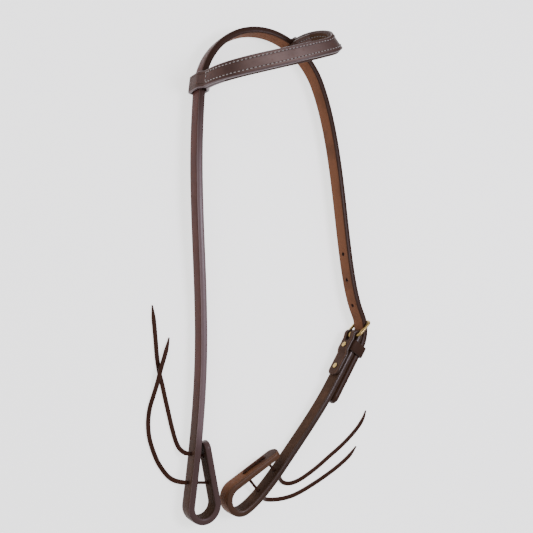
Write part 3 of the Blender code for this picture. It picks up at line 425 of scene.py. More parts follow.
def fold_points():
    """Points up the fold's inner ply, and then round the buckle's bar."""
    inside = []
    count = 36
    for index in range(count):
        place = FOLD_TAIL_LENGTH * (1 - index / count)
        opened = 1 - smooth_step((place - KEEPER_START - KEEPER_WIDTH - SEAT_GAP) / FOLD_CLOSING_LENGTH)
        offset = FOLD_SHUT_OFFSET + (FOLD_OPEN_OFFSET - FOLD_SHUT_OFFSET) * opened
        at_turn = -(WRAP_RADIUS + FOLD_THICKNESS / 2)
        offset += (at_turn - offset) * (1 - smooth_step(place / KEEPER_START))
        inside.append(at_bar(-place, offset))
    turn = []
    for index in range(25):
        share = index / 24
        radius = WRAP_RADIUS + (FOLD_THICKNESS + (STRAP_THICKNESS - FOLD_THICKNESS) * share) / 2
        turn.append(at_bar(radius * math.sin(math.pi * share), -radius * math.cos(math.pi * share)))
    return inside, turn


def base_height(distance, start, length):
    """Height of a strap's lower edge, which comes down over a length of its cheek."""
    return LIFT * (1 - smooth_step((distance - start) / length))


# Meshes

def strap_section(width, thickness, rounding):
    """Points round a strap's section, with each one's share of the way round."""
    wide, thick = width / 2, thickness / 2
    radius = min(rounding, thick * 0.9, wide * 0.9)
    crowned = thickness * SECTION_SWELL
    points = []
    for turn, first, last in ((1, 0, FACE_END), (-1, BACK_START, BACK_END)):
        for share, swell in ((1, 0), (0.6, crowned), (0, crowned), (-0.6, crowned)):
            across = share * (wide - radius) * turn
            points.append((across, (thick + swell) * turn, first + (1 - share) / 2 * (last - first)))
        for index in range(6):
            angle = math.radians(90 + 36 * index)
            middle = (thick - radius) * (1 if index < 3 else -1)
            points.append(((radius * math.cos(angle) - (wide - radius)) * turn,
                           (middle + radius * math.sin(angle)) * turn,
                           last + (BACK_START - FACE_END) * index / 6))
    return points


def mapped_mesh():
    mesh = bmesh.new()
    mesh.loops.layers.uv.new("strap_map")
    return mesh


def skin(mesh, rings, centres, shares, closed):
    """Faces between rings, with their map: metres along, and the share of the way round."""
    layer = mesh.loops.layers.uv["strap_map"]
    lengths = distances(centres + centres[:1] if closed else centres)
    ends = [*shares[1:], 1.0]
    sides = len(shares)
    for first in range(len(lengths) - 1):
        second = (first + 1) % len(rings)
        for index in range(sides):
            following = (index + 1) % sides
            face = mesh.faces.new((rings[first][index], rings[first][following],
                                   rings[second][following], rings[second][index]))
            places = ((lengths[first], shares[index]), (lengths[first], ends[index]),
                      (lengths[first + 1], ends[index]), (lengths[first + 1], shares[index]))
            for loop, place in zip(face.loops, places):
                loop[layer].uv = place
    if not closed:
        for ring, length in ((rings[0][::-1], 0), (rings[-1], lengths[-1])):
            middle = mesh.verts.new(sum((vertex.co for vertex in ring), Vector()) / sides)
            for index in range(sides):
                face = mesh.faces.new((ring[index], ring[(index + 1) % sides], middle))
                for loop in face.loops:
                    loop[layer].uv = (length, EDGE_SHARE)
    bmesh.ops.recalc_face_normals(mesh, faces=mesh.faces)
    return mesh


def section_loft(stations, rounding, closed=False):
    """A body through strap sections."""
    mesh = mapped_mesh()
    sections = [strap_section(station.width, station.thickness, rounding) for station in stations]
    rings = [[mesh.verts.new(station.centre + station.across * along + station.normal * off)
              for along, off, _ in section] for station, section in zip(stations, sections)]
    shares = [share for _, _, share in sections[-1]]
    return skin(mesh, rings, [station.centre for station in stations], shares, closed)


def standing_stations(points, base, thickness):
    """Sections of a strap on its edge; base and thickness are functions of the distance along it."""
    lengths = distances(points)
    stations = []
    for point, direction, length in zip(points, directions(points), lengths):
        width = STRAP_WIDTH - 2 * max(tip_inset(length), tip_inset(lengths[-1] - length))
        centre = point + UP * (base(length) + STRAP_WIDTH / 2)
        stations.append(Station(centre, UP, turned(direction, 90), width, thickness(length)))
    return stations


def tube(points, radius, sides, closed=False, flatten=1.0, start_taper=(), end_taper=()):
    """A tube along a path; a flattened one keeps its flat side level."""
    count = len(points)
    tangents = directions(points)
    if closed:
        tangents = [(points[(index + 1) % count] - points[index - 1]).normalized() for index in range(count)]
    full = count - len(start_taper) - len(end_taper)
    scales = [*start_taper, *[1.0] * full, *reversed(end_taper)]
    mesh = mapped_mesh()
    side = tangents[0].orthogonal().normalized()
    rings = []
    for point, tangent, scale in zip(points, tangents, scales):
        if flatten < 1:
            side = UP.cross(tangent)
        side = (side - tangent * side.dot(tangent)).normalized()
        other = tangent.cross(side)
        ring = []
        for step in range(sides):
            angle = math.tau * step / sides
            across, tall = math.cos(angle), math.sin(angle)
            if flatten < 1:
                across = math.copysign(abs(across) ** 0.6, across)
                tall = math.copysign(abs(tall) ** 0.6, tall)
            ring.append(mesh.verts.new(point + (side * across * scale + other * tall * flatten) * radius))
        rings.append(ring)
    return skin(mesh, rings, points, [step / sides for step in range(sides)], closed)


def lathe(profile, foot, axis, sides=36):
    """A body turned about an axis, from (radius, height) points that begin and end on the axis."""
    side = axis.orthogonal().normalized()
    other = axis.cross(side)
    mesh = mapped_mesh()
    turns = [math.tau * index / sides for index in range(sides)]
    rows = []
    for radius, height in profile:
        middle = foot + axis * height
        rows.append([mesh.verts.new(middle + (side * math.cos(turn) + other * math.sin(turn)) * radius)
                     for turn in (turns if radius else turns[:1])])
    for first, second in zip(rows, rows[1:]):
        for index in range(sides):
            following = (index + 1) % sides
            corners = [first[index % len(first)], second[index % len(second)],
                       second[following % len(second)], first[following % len(first)]]
            mesh.faces.new(list(dict.fromkeys(corners)))
    bmesh.ops.recalc_face_normals(mesh, faces=mesh.faces)
    return mesh


def box_mesh(centre, along, across, upward, sizes):
    mesh = mapped_mesh()
    bmesh.ops.create_cube(mesh, size=1)
    turn = Matrix((along, across, upward)).transposed()
    for vertex in mesh.verts:
        vertex.co = centre + turn @ Vector([vertex.co[axis] * sizes[axis] for axis in range(3)])
    bmesh.ops.recalc_face_normals(mesh, faces=mesh.faces)
    return mesh


def rounded_box(left, right, bottom, top, radius, steps, first_corner=0):
    """Places round a box with rounded corners, each with its outward angle."""
    places = []
    for corner in range(first_corner, first_corner + 360, 90):
        corner %= 360
        across = right - radius if corner in (0, 270) else left + radius
        tall = top - radius if corner in (0, 90) else bottom + radius
        for step in range(steps + 1):
            angle = math.radians(corner + 90 * step / steps)
            places.append((across + radius * math.cos(angle), tall + radius * math.sin(angle), angle))
    return places


def add_object(name, mesh):
    data = bpy.data.meshes.new(name)
    mesh.to_mesh(data)
    mesh.free()
    piece = bpy.data.objects.new(name, data)
    bpy.context.scene.collection.objects.link(piece)
    return piece


def made_plain(piece):
    """Bakes a piece's modifiers into its mesh and takes them off."""
    graph = bpy.context.evaluated_depsgraph_get()
    graph.update()
    data = bpy.data.meshes.new_from_object(piece.evaluated_get(graph), depsgraph=graph)
    piece.modifiers.clear()
    old = piece.data
    piece.data = data
    data.name = piece.name
    bpy.data.meshes.remove(old)


def cut_out(piece, meshes):
    """Cuts bodies out of a piece; the walls that this leaves carry the edge's place on the map."""
    united = bmesh.new()
    for mesh in meshes:
        layer = mesh.loops.layers.uv.verify()
        for face in mesh.faces:
            for loop in face.loops:
                loop[layer].uv = (0, EDGE_SHARE)
        data = bpy.data.meshes.new("cutter")
        mesh.to_mesh(data)
        mesh.free()
        united.from_mesh(data)
        bpy.data.meshes.remove(data)
    holder = add_object(piece.name + "_cutter", united)
    modifier = piece.modifiers.new("holes", "BOOLEAN")
    modifier.operation = "DIFFERENCE"
    modifier.solver = "EXACT"
    modifier.object = holder
    made_plain(piece)
    bpy.data.objects.remove(holder)


def dress(piece, finish, node, body, angle):
    """Gives a piece its finish and its body, and hides the solid that it stands for."""
    piece.data.materials.clear()
    piece.data.materials.append(finish)
    piece.data.shade_smooth()
    piece.data.set_sharp_from_angle(angle=math.radians(angle))
    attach(piece, body)
    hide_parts(node)


def add_piece(name, mesh, finish, node, body="headstall", cutters=(), angle=40.0):
    piece = add_object(name, mesh)
    if cutters:
        cut_out(piece, cutters)
    dress(piece, finish, node, body, angle)
    return piece


# Finishes

def add_node(tree, kind, inputs=(), **settings):
    """A node with its settings; inputs are values or sockets by name or number."""
    node = tree.nodes.new(kind)
    for name, value in settings.items():
        setattr(node, name, value)
    for key, value in dict(inputs).items():
        if isinstance(value, bpy.types.NodeSocket):
            tree.links.new(value, node.inputs[key])
        else:
            node.inputs[key].default_value = value
    return node


def calc(tree, operation, first, second=0.0):
    return add_node(tree, "ShaderNodeMath", {0: first, 1: second}, operation=operation).outputs[0]


def ramp(tree, value, low=0.0, high=1.0, start=0.0, end=1.0):
    inputs = {"Value": value, "From Min": low, "From Max": high, "To Min": start, "To Max": end}
    return add_node(tree, "ShaderNodeMapRange", inputs, interpolation_type="SMOOTHSTEP").outputs["Result"]


def blend(tree, share, first, second):
    return add_node(tree, "ShaderNodeMix", {0: share, 6: first, 7: second}, data_type="RGBA").outputs[2]


def noise(tree, vector, scale, detail=3.0, roughness=0.55):
    inputs = {"Vector": vector, "Scale": scale, "Detail": detail, "Roughness": roughness}
    return add_node(tree, "ShaderNodeTexNoise", inputs).outputs["Fac"]


def short_calls(tree):
    """Calls that add to one tree: times, plus, minus, over, fade, mix and speckle."""
    sums = [partial(calc, tree, operation) for operation in ("MULTIPLY", "ADD", "SUBTRACT", "DIVIDE")]
    return [*sums, partial(ramp, tree), partial(blend, tree), partial(noise, tree)]


def new_material(name):
    """A material, its tree, its shader's inputs and a place on the piece."""
    material = bpy.data.materials.new(name)
    material.use_nodes = True
    tree = material.node_tree
    place = add_node(tree, "ShaderNodeTexCoord").outputs["Object"]
    return material, tree, tree.nodes["Principled BSDF"].inputs, place


def connect(tree, shader, colour, roughness, height, strength, distance):
    bump = add_node(tree, "ShaderNodeBump", {"Height": height, "Strength": strength, "Distance": distance})
    tree.links.new(colour, shader["Base Color"])
    tree.links.new(roughness, shader["Roughness"])
    tree.links.new(bump.outputs["Normal"], shader["Normal"])


def scaled_colour(colour, share):
    return [value * share for value in colour]


def leather_surface():
    """Colour, roughness and height of a strap: grained face, napped back, dark burnished edges; a lighter
    Edge Color paints a highlight on the edges, and the groove and the back round a bit loop get painted
    shade.
    """
    found = bpy.data.node_groups.get("leather_surface")
    if found:
        return found
    tree = bpy.data.node_groups.new("leather_surface", "ShaderNodeTree")
    for way, labels in (("INPUT", LEATHER_INPUTS), ("OUTPUT", LEATHER_OUTPUTS)):
        for label in labels:
            kind = "Color" if label.endswith("Color") else "Vector" if label == "Place" else "Float"
            tree.interface.new_socket(name=label, in_out=way, socket_type="NodeSocket" + kind)
    given = tree.nodes.new("NodeGroupInput").outputs
    result = tree.nodes.new("NodeGroupOutput").inputs
    place, along, around = given["Place"], given["Along"], given["Around"]
    face_color, dark_color = given["Face Color"], given["Dark Edge Color"]
    times, plus, minus, over, fade, mix, speckle = short_calls(tree)

    def past(start, length):
        """How far along the strap a place is past a start, in lengths of the change there."""
        return over(minus(along, start), length)

    on_face = fade(around, FACE_END - 0.006, FACE_END + 0.012, 1.0, 0.0)
    on_back = times(fade(around, BACK_START - 0.012, BACK_START + 0.006),
                    fade(around, BACK_END - 0.006, BACK_END + 0.012, 1.0, 0.0))
    patches = speckle(place, 38.0, 4.0)
    pebbles = speckle(place, 1100.0, 2.0)
    pores = add_node(tree, "ShaderNodeTexVoronoi", {"Vector": place, "Scale": 1500.0}).outputs["Distance"]
    wrinkles = speckle(place, 260.0, 5.0, 0.65)
    strand = add_node(tree, "ShaderNodeCombineXYZ", {"X": times(along, 90.0), "Y": times(around, 60.0)})
    fibres = speckle(strand.outputs[0], 6.0, 5.0, 0.7)
    middle = calc(tree, "ABSOLUTE", minus(times(around, 2 / FACE_END), 1.0))
    rim = times(fade(middle, 0.80, 1.0), on_face)
    offset = calc(tree, "ABSOLUTE", minus(middle, given["Groove Place"]))
    # groove: a line painted darker toward Dark Edge Color, painted shade in the dent of the edge crease and,
    # on the ear band, of the stitch channel; the dent's shape is in the height
    groove = times(fade(over(offset, given["Groove Width"]), 0.4, 1.0, 1.0, 0.0), on_face)
    # span: a stretch along the strap in Span Color; on the ear band it is a painted highlight over the bend
    drawn = times(fade(past(given["Drawn From"], given["Drawn Length"])),
                  fade(past(given["Drawn Until"], given["Drawn Length"]), 0.0, 1.0, 1.0, 0.0))
    # loop_shade: round a bit loop and its tail, painted shade on the back in Loop Shade Color, and most of
    # the edges' painted highlight gone
    loop_shade = fade(past(given["Oiled Until"], LOOP_SHADE_CHANGE), 0.0, 1.0, 1.0, 0.0)
    # far: where the edges lose the painted highlight of Edge Color for the dark edge colour, past Dark Edge
    # From and round a bit loop
    far = calc(tree, "MAXIMUM", fade(past(given["Dark Edge From"], DARK_EDGE_CHANGE)), times(loop_shade, 0.7))

    # Span Color on the face; on the ear band this is a painted highlight
    plain = mix(drawn, face_color, given["Drawn Color"])
    face = mix(fade(patches, 0.3, 0.75, 0.0, 0.55), plain, mix(0.6, plain, (0.01, 0.004, 0.003, 1)))
    rubbed = times(fade(wrinkles, 0.5, 0.72), 0.35)
    face = mix(rubbed, face, mix(0.5, face_color, given["Back Color"]))
    face = mix(times(rim, 0.4), face, dark_color)
    # Painted shade along the groove
    face = mix(times(groove, 0.8), face, dark_color)
    # The back round the bit loop gets painted shade
    bare = mix(loop_shade, given["Back Color"], given["Oiled Color"])
    back = mix(fade(fibres, 0.3, 0.7, 0.0, 0.6), bare, mix(0.45, bare, (0.02, 0.008, 0.004, 1)))
    back = mix(fade(patches, 0.45, 0.7, 0.0, 0.35), back, dark_color)
    # Edge Color, where it is lighter than Dark Edge Color, is a painted highlight on the edges
    edge = mix(fade(fibres, 0.35, 0.8, 0.0, 0.4), mix(far, given["Edge Color"], dark_color), face_color)
    tree.links.new(mix(on_back, mix(on_face, edge, face), back), result["Color"])

    covered = calc(tree, "MAXIMUM", on_face, on_back)
    glaze = times(fade(covered, 0.0, 1.0, 1.0, 0.03), given["Glaze"])
    glaze = times(glaze, fade(far, 0.0, 1.0, 1.0, 0.3))
    tree.links.new(times(glaze, fade(patches, 0.3, 0.7, 0.7, 1.0)), result["Glaze"])

    gloss = plus(given["Polish"], fade(wrinkles, 0.3, 0.75, -0.06, 0.12))
    tree.links.new(plus(gloss, times(on_back, 0.32)), result["Roughness"])
    grain = plus(plus(times(pebbles, 0.5), times(pores, 0.35)), times(wrinkles, 0.8))
    nap = times(fibres, times(on_back, 1.2))
    height = minus(plus(grain, nap), times(groove, 2.2))
    tree.links.new(minus(height, times(rim, 0.6)), result["Height"])
    return tree


def leather_finish(name, face, back, edge, polish, **more):
    """Leather in its colours; more sets other inputs of its surface by their names."""
    material, tree, shader, place = new_material(name)
    strap_map = add_node(tree, "ShaderNodeUVMap", uv_map="strap_map").outputs["UV"]
    parts = add_node(tree, "ShaderNodeSeparateXYZ", {0: strap_map}).outputs
    values = {"Face Color": face, "Drawn Color": face, "Back Color": back, "Oiled Color": back,
              "Edge Color": edge, "Dark Edge Color": edge, "Polish": polish, "Groove Place": 0.86,
              "Groove Width": 0.05, "Glaze": 0.5, "Drawn From": 0.0, "Drawn Until": BEYOND,
              "Drawn Length": 0.03, "Oiled Until": -1.0, "Dark Edge From": BEYOND}
    values.update({label.replace("_", " ").title(): value for label, value in more.items()})
    inputs = {label: (*value, 1) if label.endswith("Color") else value for label, value in values.items()}
    inputs.update({"Place": place, "Along": parts["X"], "Around": parts["Y"]})
    given = add_node(tree, "ShaderNodeGroup", inputs, node_tree=leather_surface()).outputs
    connect(tree, shader, given["Color"], given["Roughness"], given["Height"], 0.45, 0.00025)
    tree.links.new(given["Glaze"], shader["Coat Weight"])
    shader["Coat Roughness"].default_value = 0.30
    shader["Specular IOR Level"].default_value = 0.02
    shader["Sheen Weight"].default_value = 0.012
    shader["Sheen Roughness"].default_value = 0.5
    shader["Sheen Tint"].default_value = (0.72, 0.68, 0.85, 1)
    return material


def brass_finish(name, colour):
    material, tree, shader, place = new_material(name)
    times, plus, _, _, fade, mix, speckle = short_calls(tree)
    tarnish = speckle(place, 420.0, 4.0, 0.6)
    scratches = add_node(tree, "ShaderNodeMapping", {"Vector": place, "Scale": (3000.0, 500.0, 900.0)})
    fine = speckle(scratches.outputs[0], 1.0, 2.0)
    tone = mix(fade(tarnish, 0.5, 0.8, 0.0, 0.6), (*colour, 1), (*scaled_colour(colour, 0.45), 1))
    roughness = plus(fade(tarnish, 0.35, 0.8, 0.22, 0.42), times(fine, 0.08))
    connect(tree, shader, tone, roughness, fine, 0.12, 0.00008)
    shader["Metallic"].default_value = 1.0
    return material


def thread_finish(name, colour):
    material, tree, shader, place = new_material(name)
    times, _, _, _, fade, mix, speckle = short_calls(tree)
    twist = add_node(tree, "ShaderNodeTexWave", {"Vector": place, "Scale": 900.0, "Distortion": 1.5},
                     bands_direction="DIAGONAL").outputs["Fac"]
    soil = speckle(place, 90.0, 3.0)
    inner = add_node(tree, "ShaderNodeAttribute", attribute_name="inner_side").outputs["Fac"]
    # Stitches on the inner side are painted at a fifth of the thread colour: painted shade inside the ear
    # piece
    plain = mix(inner, (*colour, 1), (*scaled_colour(colour, 0.2), 1))
    pale = mix(times(twist, 0.35), plain, (*scaled_colour(colour, 0.5), 1))
    tone = mix(fade(soil, 0.5, 0.8, 0.0, 0.35), pale, (0.2, 0.15, 0.13, 1))
    connect(tree, shader, tone, fade(soil, 0.2, 0.8, 0.5, 0.75), twist, 0.4, 0.0001)
    return material


# Settings

def shade(label, described, *default):
    return FloatVectorProperty(name=label, description=described, subtype="COLOR", size=3, default=default,
                               min=0, max=1)


def measure(label, described, default, least, most, **more):
    return FloatProperty(name=label, description=described, default=default, min=least, max=most,
                         **(more or {"unit": "LENGTH"}))


class StrapSettings(bpy.types.PropertyGroup):
    """Sizes and colours of the leather"""
    rounding: measure("Edge rounding", "Radius of a strap's burnished edges", 0.0011, 0.0002, 0.002)
    face: shade("Face", "Grain side of the straps", 0.070, 0.028, 0.024)
    ear: shade("Ear band", "Grain side of the ear piece", 0.070, 0.040, 0.035)
    # A painted highlight: the ear band's face is painted paler over its bend
    painted_ear_highlight: shade("Ear highlight", "Painted highlight where the ear band bends", 0.210, 0.148, 0.138)
    back: shade("Back", "Flesh side of the straps", 0.148, 0.063, 0.034)
    # A painted highlight, mauve, on the edges of the off cheek and the ear band; the dark edge colour is
    # their own
    edge: shade("Edge", "Painted highlight on the burnished edges", 0.165, 0.112, 0.120)
    dark_edge: shade("Dark edge", "Darker edges from the crown to the buckle", 0.038, 0.019, 0.013)
    near: shade("Near cheek", "Darkened grain side of the near cheek", 0.050, 0.026, 0.018)
    # inside: partly painted shade, for the backs inside the bit loops and for the ear piece's lining
    inside: shade("Near cheek back", "Darkened back of the near cheek", 0.048, 0.025, 0.015)
    loop_edge: shade("Loop edge", "Paler edges at the near cheek's loop", 0.105, 0.050, 0.028)
    drawn: shade("Drawn", "Grain side of the near cheek where its loop draws it", 0.112, 0.042, 0.016)
    polish: measure("Polish", "Roughness of the grain side", 0.34, 0.1, 0.9, subtype="FACTOR")


class LaceSettings(bpy.types.PropertyGroup):
    """Sizes and colour of the laces"""
    width: measure("Width", "Width of a free lace end", 0.0042, 0.001, 0.006)
    thickness: measure("Thickness", "Thickness of a free lace end", 0.0019, 0.0005, 0.004)
    face: shade("Colour", "Lace leather", 0.052, 0.022, 0.014)


class SewingSettings(bpy.types.PropertyGroup):
    """Sizes and colour of the ear piece's sewing"""
    pitch: measure("Pitch", "From one stitch to the next", 0.0038, 0.001, 0.01)
    length: measure("Stitch length", "Length of one stitch", 0.0025, 0.0005, 0.01)
    thickness: measure("Thread", "Thickness of the thread", 0.0009, 0.0002, 0.003)
    margin: measure("Margin", "From the band's edge to a row", 0.0032, 0.001, 0.006)
    colour: shade("Colour", "Thread", 0.31, 0.28, 0.28)


class BrassSettings(bpy.types.PropertyGroup):
    """Fineness and colour of the buckle and screws"""
    colour: shade("Colour", "Brass", 0.36, 0.25, 0.09)
    sides: IntProperty(name="Sides", description="Sides of a round wire", default=20, min=8, max=64)


class StageSettings(bpy.types.PropertyGroup):
    """Floor and light"""
    floor_size: measure("Floor", "Side of the floor", 12.0, 1, 50)
    floor_tone: measure("Floor tone", "Brightness of the floor", 0.93, 0, 1, subtype="FACTOR")
    key_power: measure("Key light", "Power of the large light", 6.0, 0, 500, unit="POWER")
    fill_strength: measure("Fill", "Strength of the light from all round", 0.55, 0, 10, unit="NONE")


# Laces, in millimetres from where each leaves its loop: x, y and, where it isn't lying, the height

LACE_STEPS = {
    "off_lace_upper": ((-4.4, 1.0, 6.4), (-8.0, 4.0, 3.8), (-10.4, 8.8, 1.9), (-12.8, 15.5), (-16.2, 27.4),
        (-19.4, 40.2), (-22.4, 52.1), (-25.0, 63.0), (-28.0, 74.3), (-30.3, 87.9), (-31.8, 103.6),
        (-33.5, 119.7), (-35.3, 135.0)),
    "off_lace_lower": ((-5.2, 0.7, 6.0), (-10.2, 2.2, 3.2), (-15.3, 5.8, 1.6), (-20.6, 12.1), (-26.1, 20.8),
        (-30.6, 31.4), (-34.1, 43.2), (-35.2, 55.7), (-33.9, 67.9), (-30.3, 80.0, 1.9), (-27.6, 91.5, 4.0),
        (-25.4, 102.2, 5.1), (-21.3, 113.5, 4.0), (-17.6, 123.1, 2.0), (-15.7, 130.7)),
    "near_lace_upper": ((3.6, -4.2, 5.6), (8.0, -8.4, 2.7), (13.2, -11.2), (19.5, -12.1), (27.2, -11.0),
        (36.8, -7.7), (52.6, -0.2), (68.3, 8.8), (82.1, 16.7), (94.3, 24.8), (106.0, 34.2), (113.8, 43.0),
        (118.1, 51.8)),
    "near_lace_lower": ((3.4, -3.4, 5.8), (8.0, -5.8, 2.7), (14.0, -7.3), (21.5, -8.1), (30.0, -8.2),
        (40.5, -7.1), (51.8, -4.2), (63.6, -0.1), (75.1, 4.3), (89.4, 10.5), (103.4, 17.6), (114.2, 24.6),
        (122.3, 32.4)),
}


def lace_lines(cheek, tail, lead):
    """The lower and upper crossing of a loop's lace: its middle in the cheek, lead up, and in the tail."""
    up_cheek = cheek[::-1]
    tail_start = distances(tail)[-1] - BIT_TAIL_LENGTH
    lines = []
    for place in (LACE_HOLE_PLACE, LACE_HOLE_PLACE + LACE_HOLE_PITCH):
        lines.append((point_at(up_cheek, place + lead)[0] + UP * (STRAP_WIDTH / 2),
                      point_at(tail, tail_start + place)[0] + UP * (STRAP_WIDTH / 2)))
    return lines


def lace_exit(line):
    on_cheek, on_tail = line
    outward = (on_cheek - on_tail).normalized()
    return on_cheek + outward * (STRAP_THICKNESS / 2 + LACE_STUB), outward


def held_lace_points(lines):
    """Path of the held stretch: in through the lower holes, along the tail's outside and back out."""
    (low_cheek, low_tail), (high_cheek, high_tail) = lines
    low_end, low_out = lace_exit(lines[0])
    high_end, high_out = lace_exit(lines[1])
    clear = STRAP_THICKNESS / 2 + SEAT_GAP + LACE_RADIUS
    square = turned((high_tail - low_tail).normalized(), 90)
    low_corner = low_tail - low_out * (clear / abs(square.dot(low_out)))
    high_corner = high_tail - high_out * (clear / abs(square.dot(high_out)))

    def corner(before, at, after):
        first = (before - at).normalized() * LACE_CORNER_RADIUS
        second = (after - at).normalized() * LACE_CORNER_RADIUS
        return [at + first * (1 - share / 8) ** 2 + second * (share / 8) ** 2 for share in range(9)]

    points = [low_end, low_cheek] + corner(low_tail, low_corner, high_corner)
    return points + corner(low_corner, high_corner, high_tail) + [high_cheek, high_end]


def hole_cutter(middle, direction, radius, reach=STRAP_HOLE_REACH):
    return tube([middle - direction * reach, middle + direction * reach], radius, 24)


def lace_hole_cutters(lines):
    return [hole_cutter(middle, (on_tail - on_cheek).normalized(), LACE_HOLE_RADIUS)
            for on_cheek, on_tail in lines for middle in (on_cheek, on_tail)]


# Operators

class LacesOperator(bpy.types.Operator):
    """Lay the free lace ends and thread the held stretches through the bit loops"""
    bl_idname = "headstall.laces"
    bl_label = "Laces"

    def execute(self, context):
        sizes, strap = context.scene.headstall_lace, context.scene.headstall_strap
        finish = leather_finish("lace_leather", sizes.face, sizes.face, strap.dark_edge, 0.42,
                                groove_place=NO_GROOVE, glaze=0.4)
        for side, route, lead in (("off", off_route(), OFF_LACE_LEAD),
                                  ("near", near_cheek_route(), NEAR_LACE_LEAD)):
            lines = lace_lines(*route, lead)
            add_piece(f"{side}_lace_held", tube(held_lace_points(lines), LACE_RADIUS, 16), finish,
                      f"{side}_lace")
            for level, line in zip(("lower", "upper"), lines):
                self.free_end(f"{side}_lace_{level}", line, sizes, finish)
        return {"FINISHED"}

    def free_end(self, name, line, sizes, finish):
        leave, outward = lace_exit(line)
        start = leave + outward * SEAT_GAP
        settle = LACE_LYING_HEIGHT - sizes.thickness / 2 - FLOOR_GAP
        points = [start, start + outward * LACE_STUB]
        for across, along, *rise in LACE_STEPS[name]:
            height = rise[0] / 1000 if rise else LACE_LYING_HEIGHT
            low = settle * smooth_step((LACE_SETTLED_FROM - height) / (LACE_SETTLED_FROM - LACE_SETTLED_BY))
            points.append(Vector((leave.x + across / 1000, leave.y + along / 1000, height - low)))
        path = smooth_curve(points, LACE_PATH_STEP)
        mesh = tube(path, sizes.width / 2, 16, False, sizes.thickness / sizes.width, LACE_ROOT_WIDTHS,
                    LACE_TIP_WIDTHS)
        piece = add_piece(name, mesh, finish, name + "_end")
        distances(path)[-1]
        [tuple(point) for point in path]


class CrownStrapOperator(bpy.types.Operator):
    """Make the long strap with its crown, off bit loop, holes and buckled end"""
    bl_idname = "headstall.crown_strap"
    bl_label = "Crown strap"

    def execute(self, context):
        cheek, tail = off_route()
        lower = joined(cheek, tail)
        points = with_tip_points(joined(lower[::-1], crown_and_billet()))
        turnover = distances(lower)[-1]
        stations = standing_stations(
            points, lambda length: base_height(turnover - length, OFF_RAMP_START, OFF_RAMP_LENGTH),
            lambda length: STRAP_THICKNESS)
        add_piece("crown_strap_leather", section_loft(stations, context.scene.headstall_strap.rounding),
                  strap_leather(context), "crown_strap",
                  cutters=self.holes(points) + lace_hole_cutters(lace_lines(cheek, tail, OFF_LACE_LEAD)))
        return {"FINISHED"}

    def holes(self, points):
        used = billet_crossing()
        nearest = min(range(len(points)), key=lambda index: (points[index] - used).length)
        in_use = distances(points)[nearest] + (used - points[nearest]).dot(directions(points)[nearest])
        cutters = []
        for number in (-1, 1, 2, 3):
            middle, direction = point_at(points, in_use - number * ADJUSTING_HOLE_PITCH)
            cutters.append(hole_cutter(middle + UP * MID_LIFTED, turned(direction, 90),
                                       ADJUSTING_HOLE_RADIUS))
        start = BAR_CENTRE + FRAME_OUT * (TONGUE_OFFSET + TONGUE_HOLE_SETBACK)
        centre = start + FRAME_UP * (FRAME_LENGTH / 2 + TONGUE_HOLE_LEAD) + UP * MID_LIFTED
        cutters.append(box_mesh(centre, FRAME_UP, FRAME_OUT, UP, (FRAME_LENGTH, *TONGUE_HOLE_SIZES)))
        return cutters


class NearCheekOperator(bpy.types.Operator):
    """Make the near cheek, folded round the buckle's bar and turned into its bit loop"""
    bl_idname = "headstall.near_cheek"
    bl_label = "Near cheek"

    def execute(self, context):
        strap = context.scene.headstall_strap
        inside, turn = fold_points()
        cheek, tail = near_cheek_route()
        down = straight_points(turn[-1], CHEEK_HEADING, FOLD_TAIL_LENGTH)
        turn_start = distances(inside + turn[:1])[-1]
        turn_end = distances(inside + turn)[-1]
        points = with_tip_points(joined(inside + turn, down, cheek, tail))

        def thickness(length):
            thicker = min(max((length - turn_start) / (turn_end - turn_start), 0), 1)
            return FOLD_THICKNESS + (STRAP_THICKNESS - FOLD_THICKNESS) * thicker

        stations = standing_stations(
            points, lambda length: base_height(length - turn_end, NEAR_RAMP_START, NEAR_RAMP_LENGTH),
            thickness)
        mesh = section_loft(stations, strap.rounding)
        slot = box_mesh(at_bar(0, 0, MID_LIFTED), CHEEK_UP, CHEEK_OUT, UP, FOLD_SLOT_SIZES)
        holes = [hole_cutter(at_bar(-place, 0, MID_LIFTED), CHEEK_OUT, POST_RADIUS + SEAT_GAP,
                             FOLD_HOLE_REACH)
                 for place in (UPPER_SCREW_PLACE, LOWER_SCREW_PLACE)]
        loop_start = distances(joined(inside + turn, down, cheek))[-1]
        # Its back, inside the bit loop, is dark partly as painted shade
        finish = leather_finish("near_cheek_dark_leather", strap.near, strap.inside, strap.dark_edge, strap.polish,
                                drawn_color=strap.drawn, drawn_from=loop_start - 0.02,
                                drawn_until=distances(points)[-1] - BIT_TAIL_LENGTH * 0.75,
                                dark_edge_color=strap.loop_edge, dark_edge_from=loop_start - 0.06)
        add_piece("near_cheek_leather", mesh, finish, "near_cheek",
                  cutters=[slot] + holes + lace_hole_cutters(lace_lines(cheek, tail, NEAR_LACE_LEAD)))
        return {"FINISHED"}


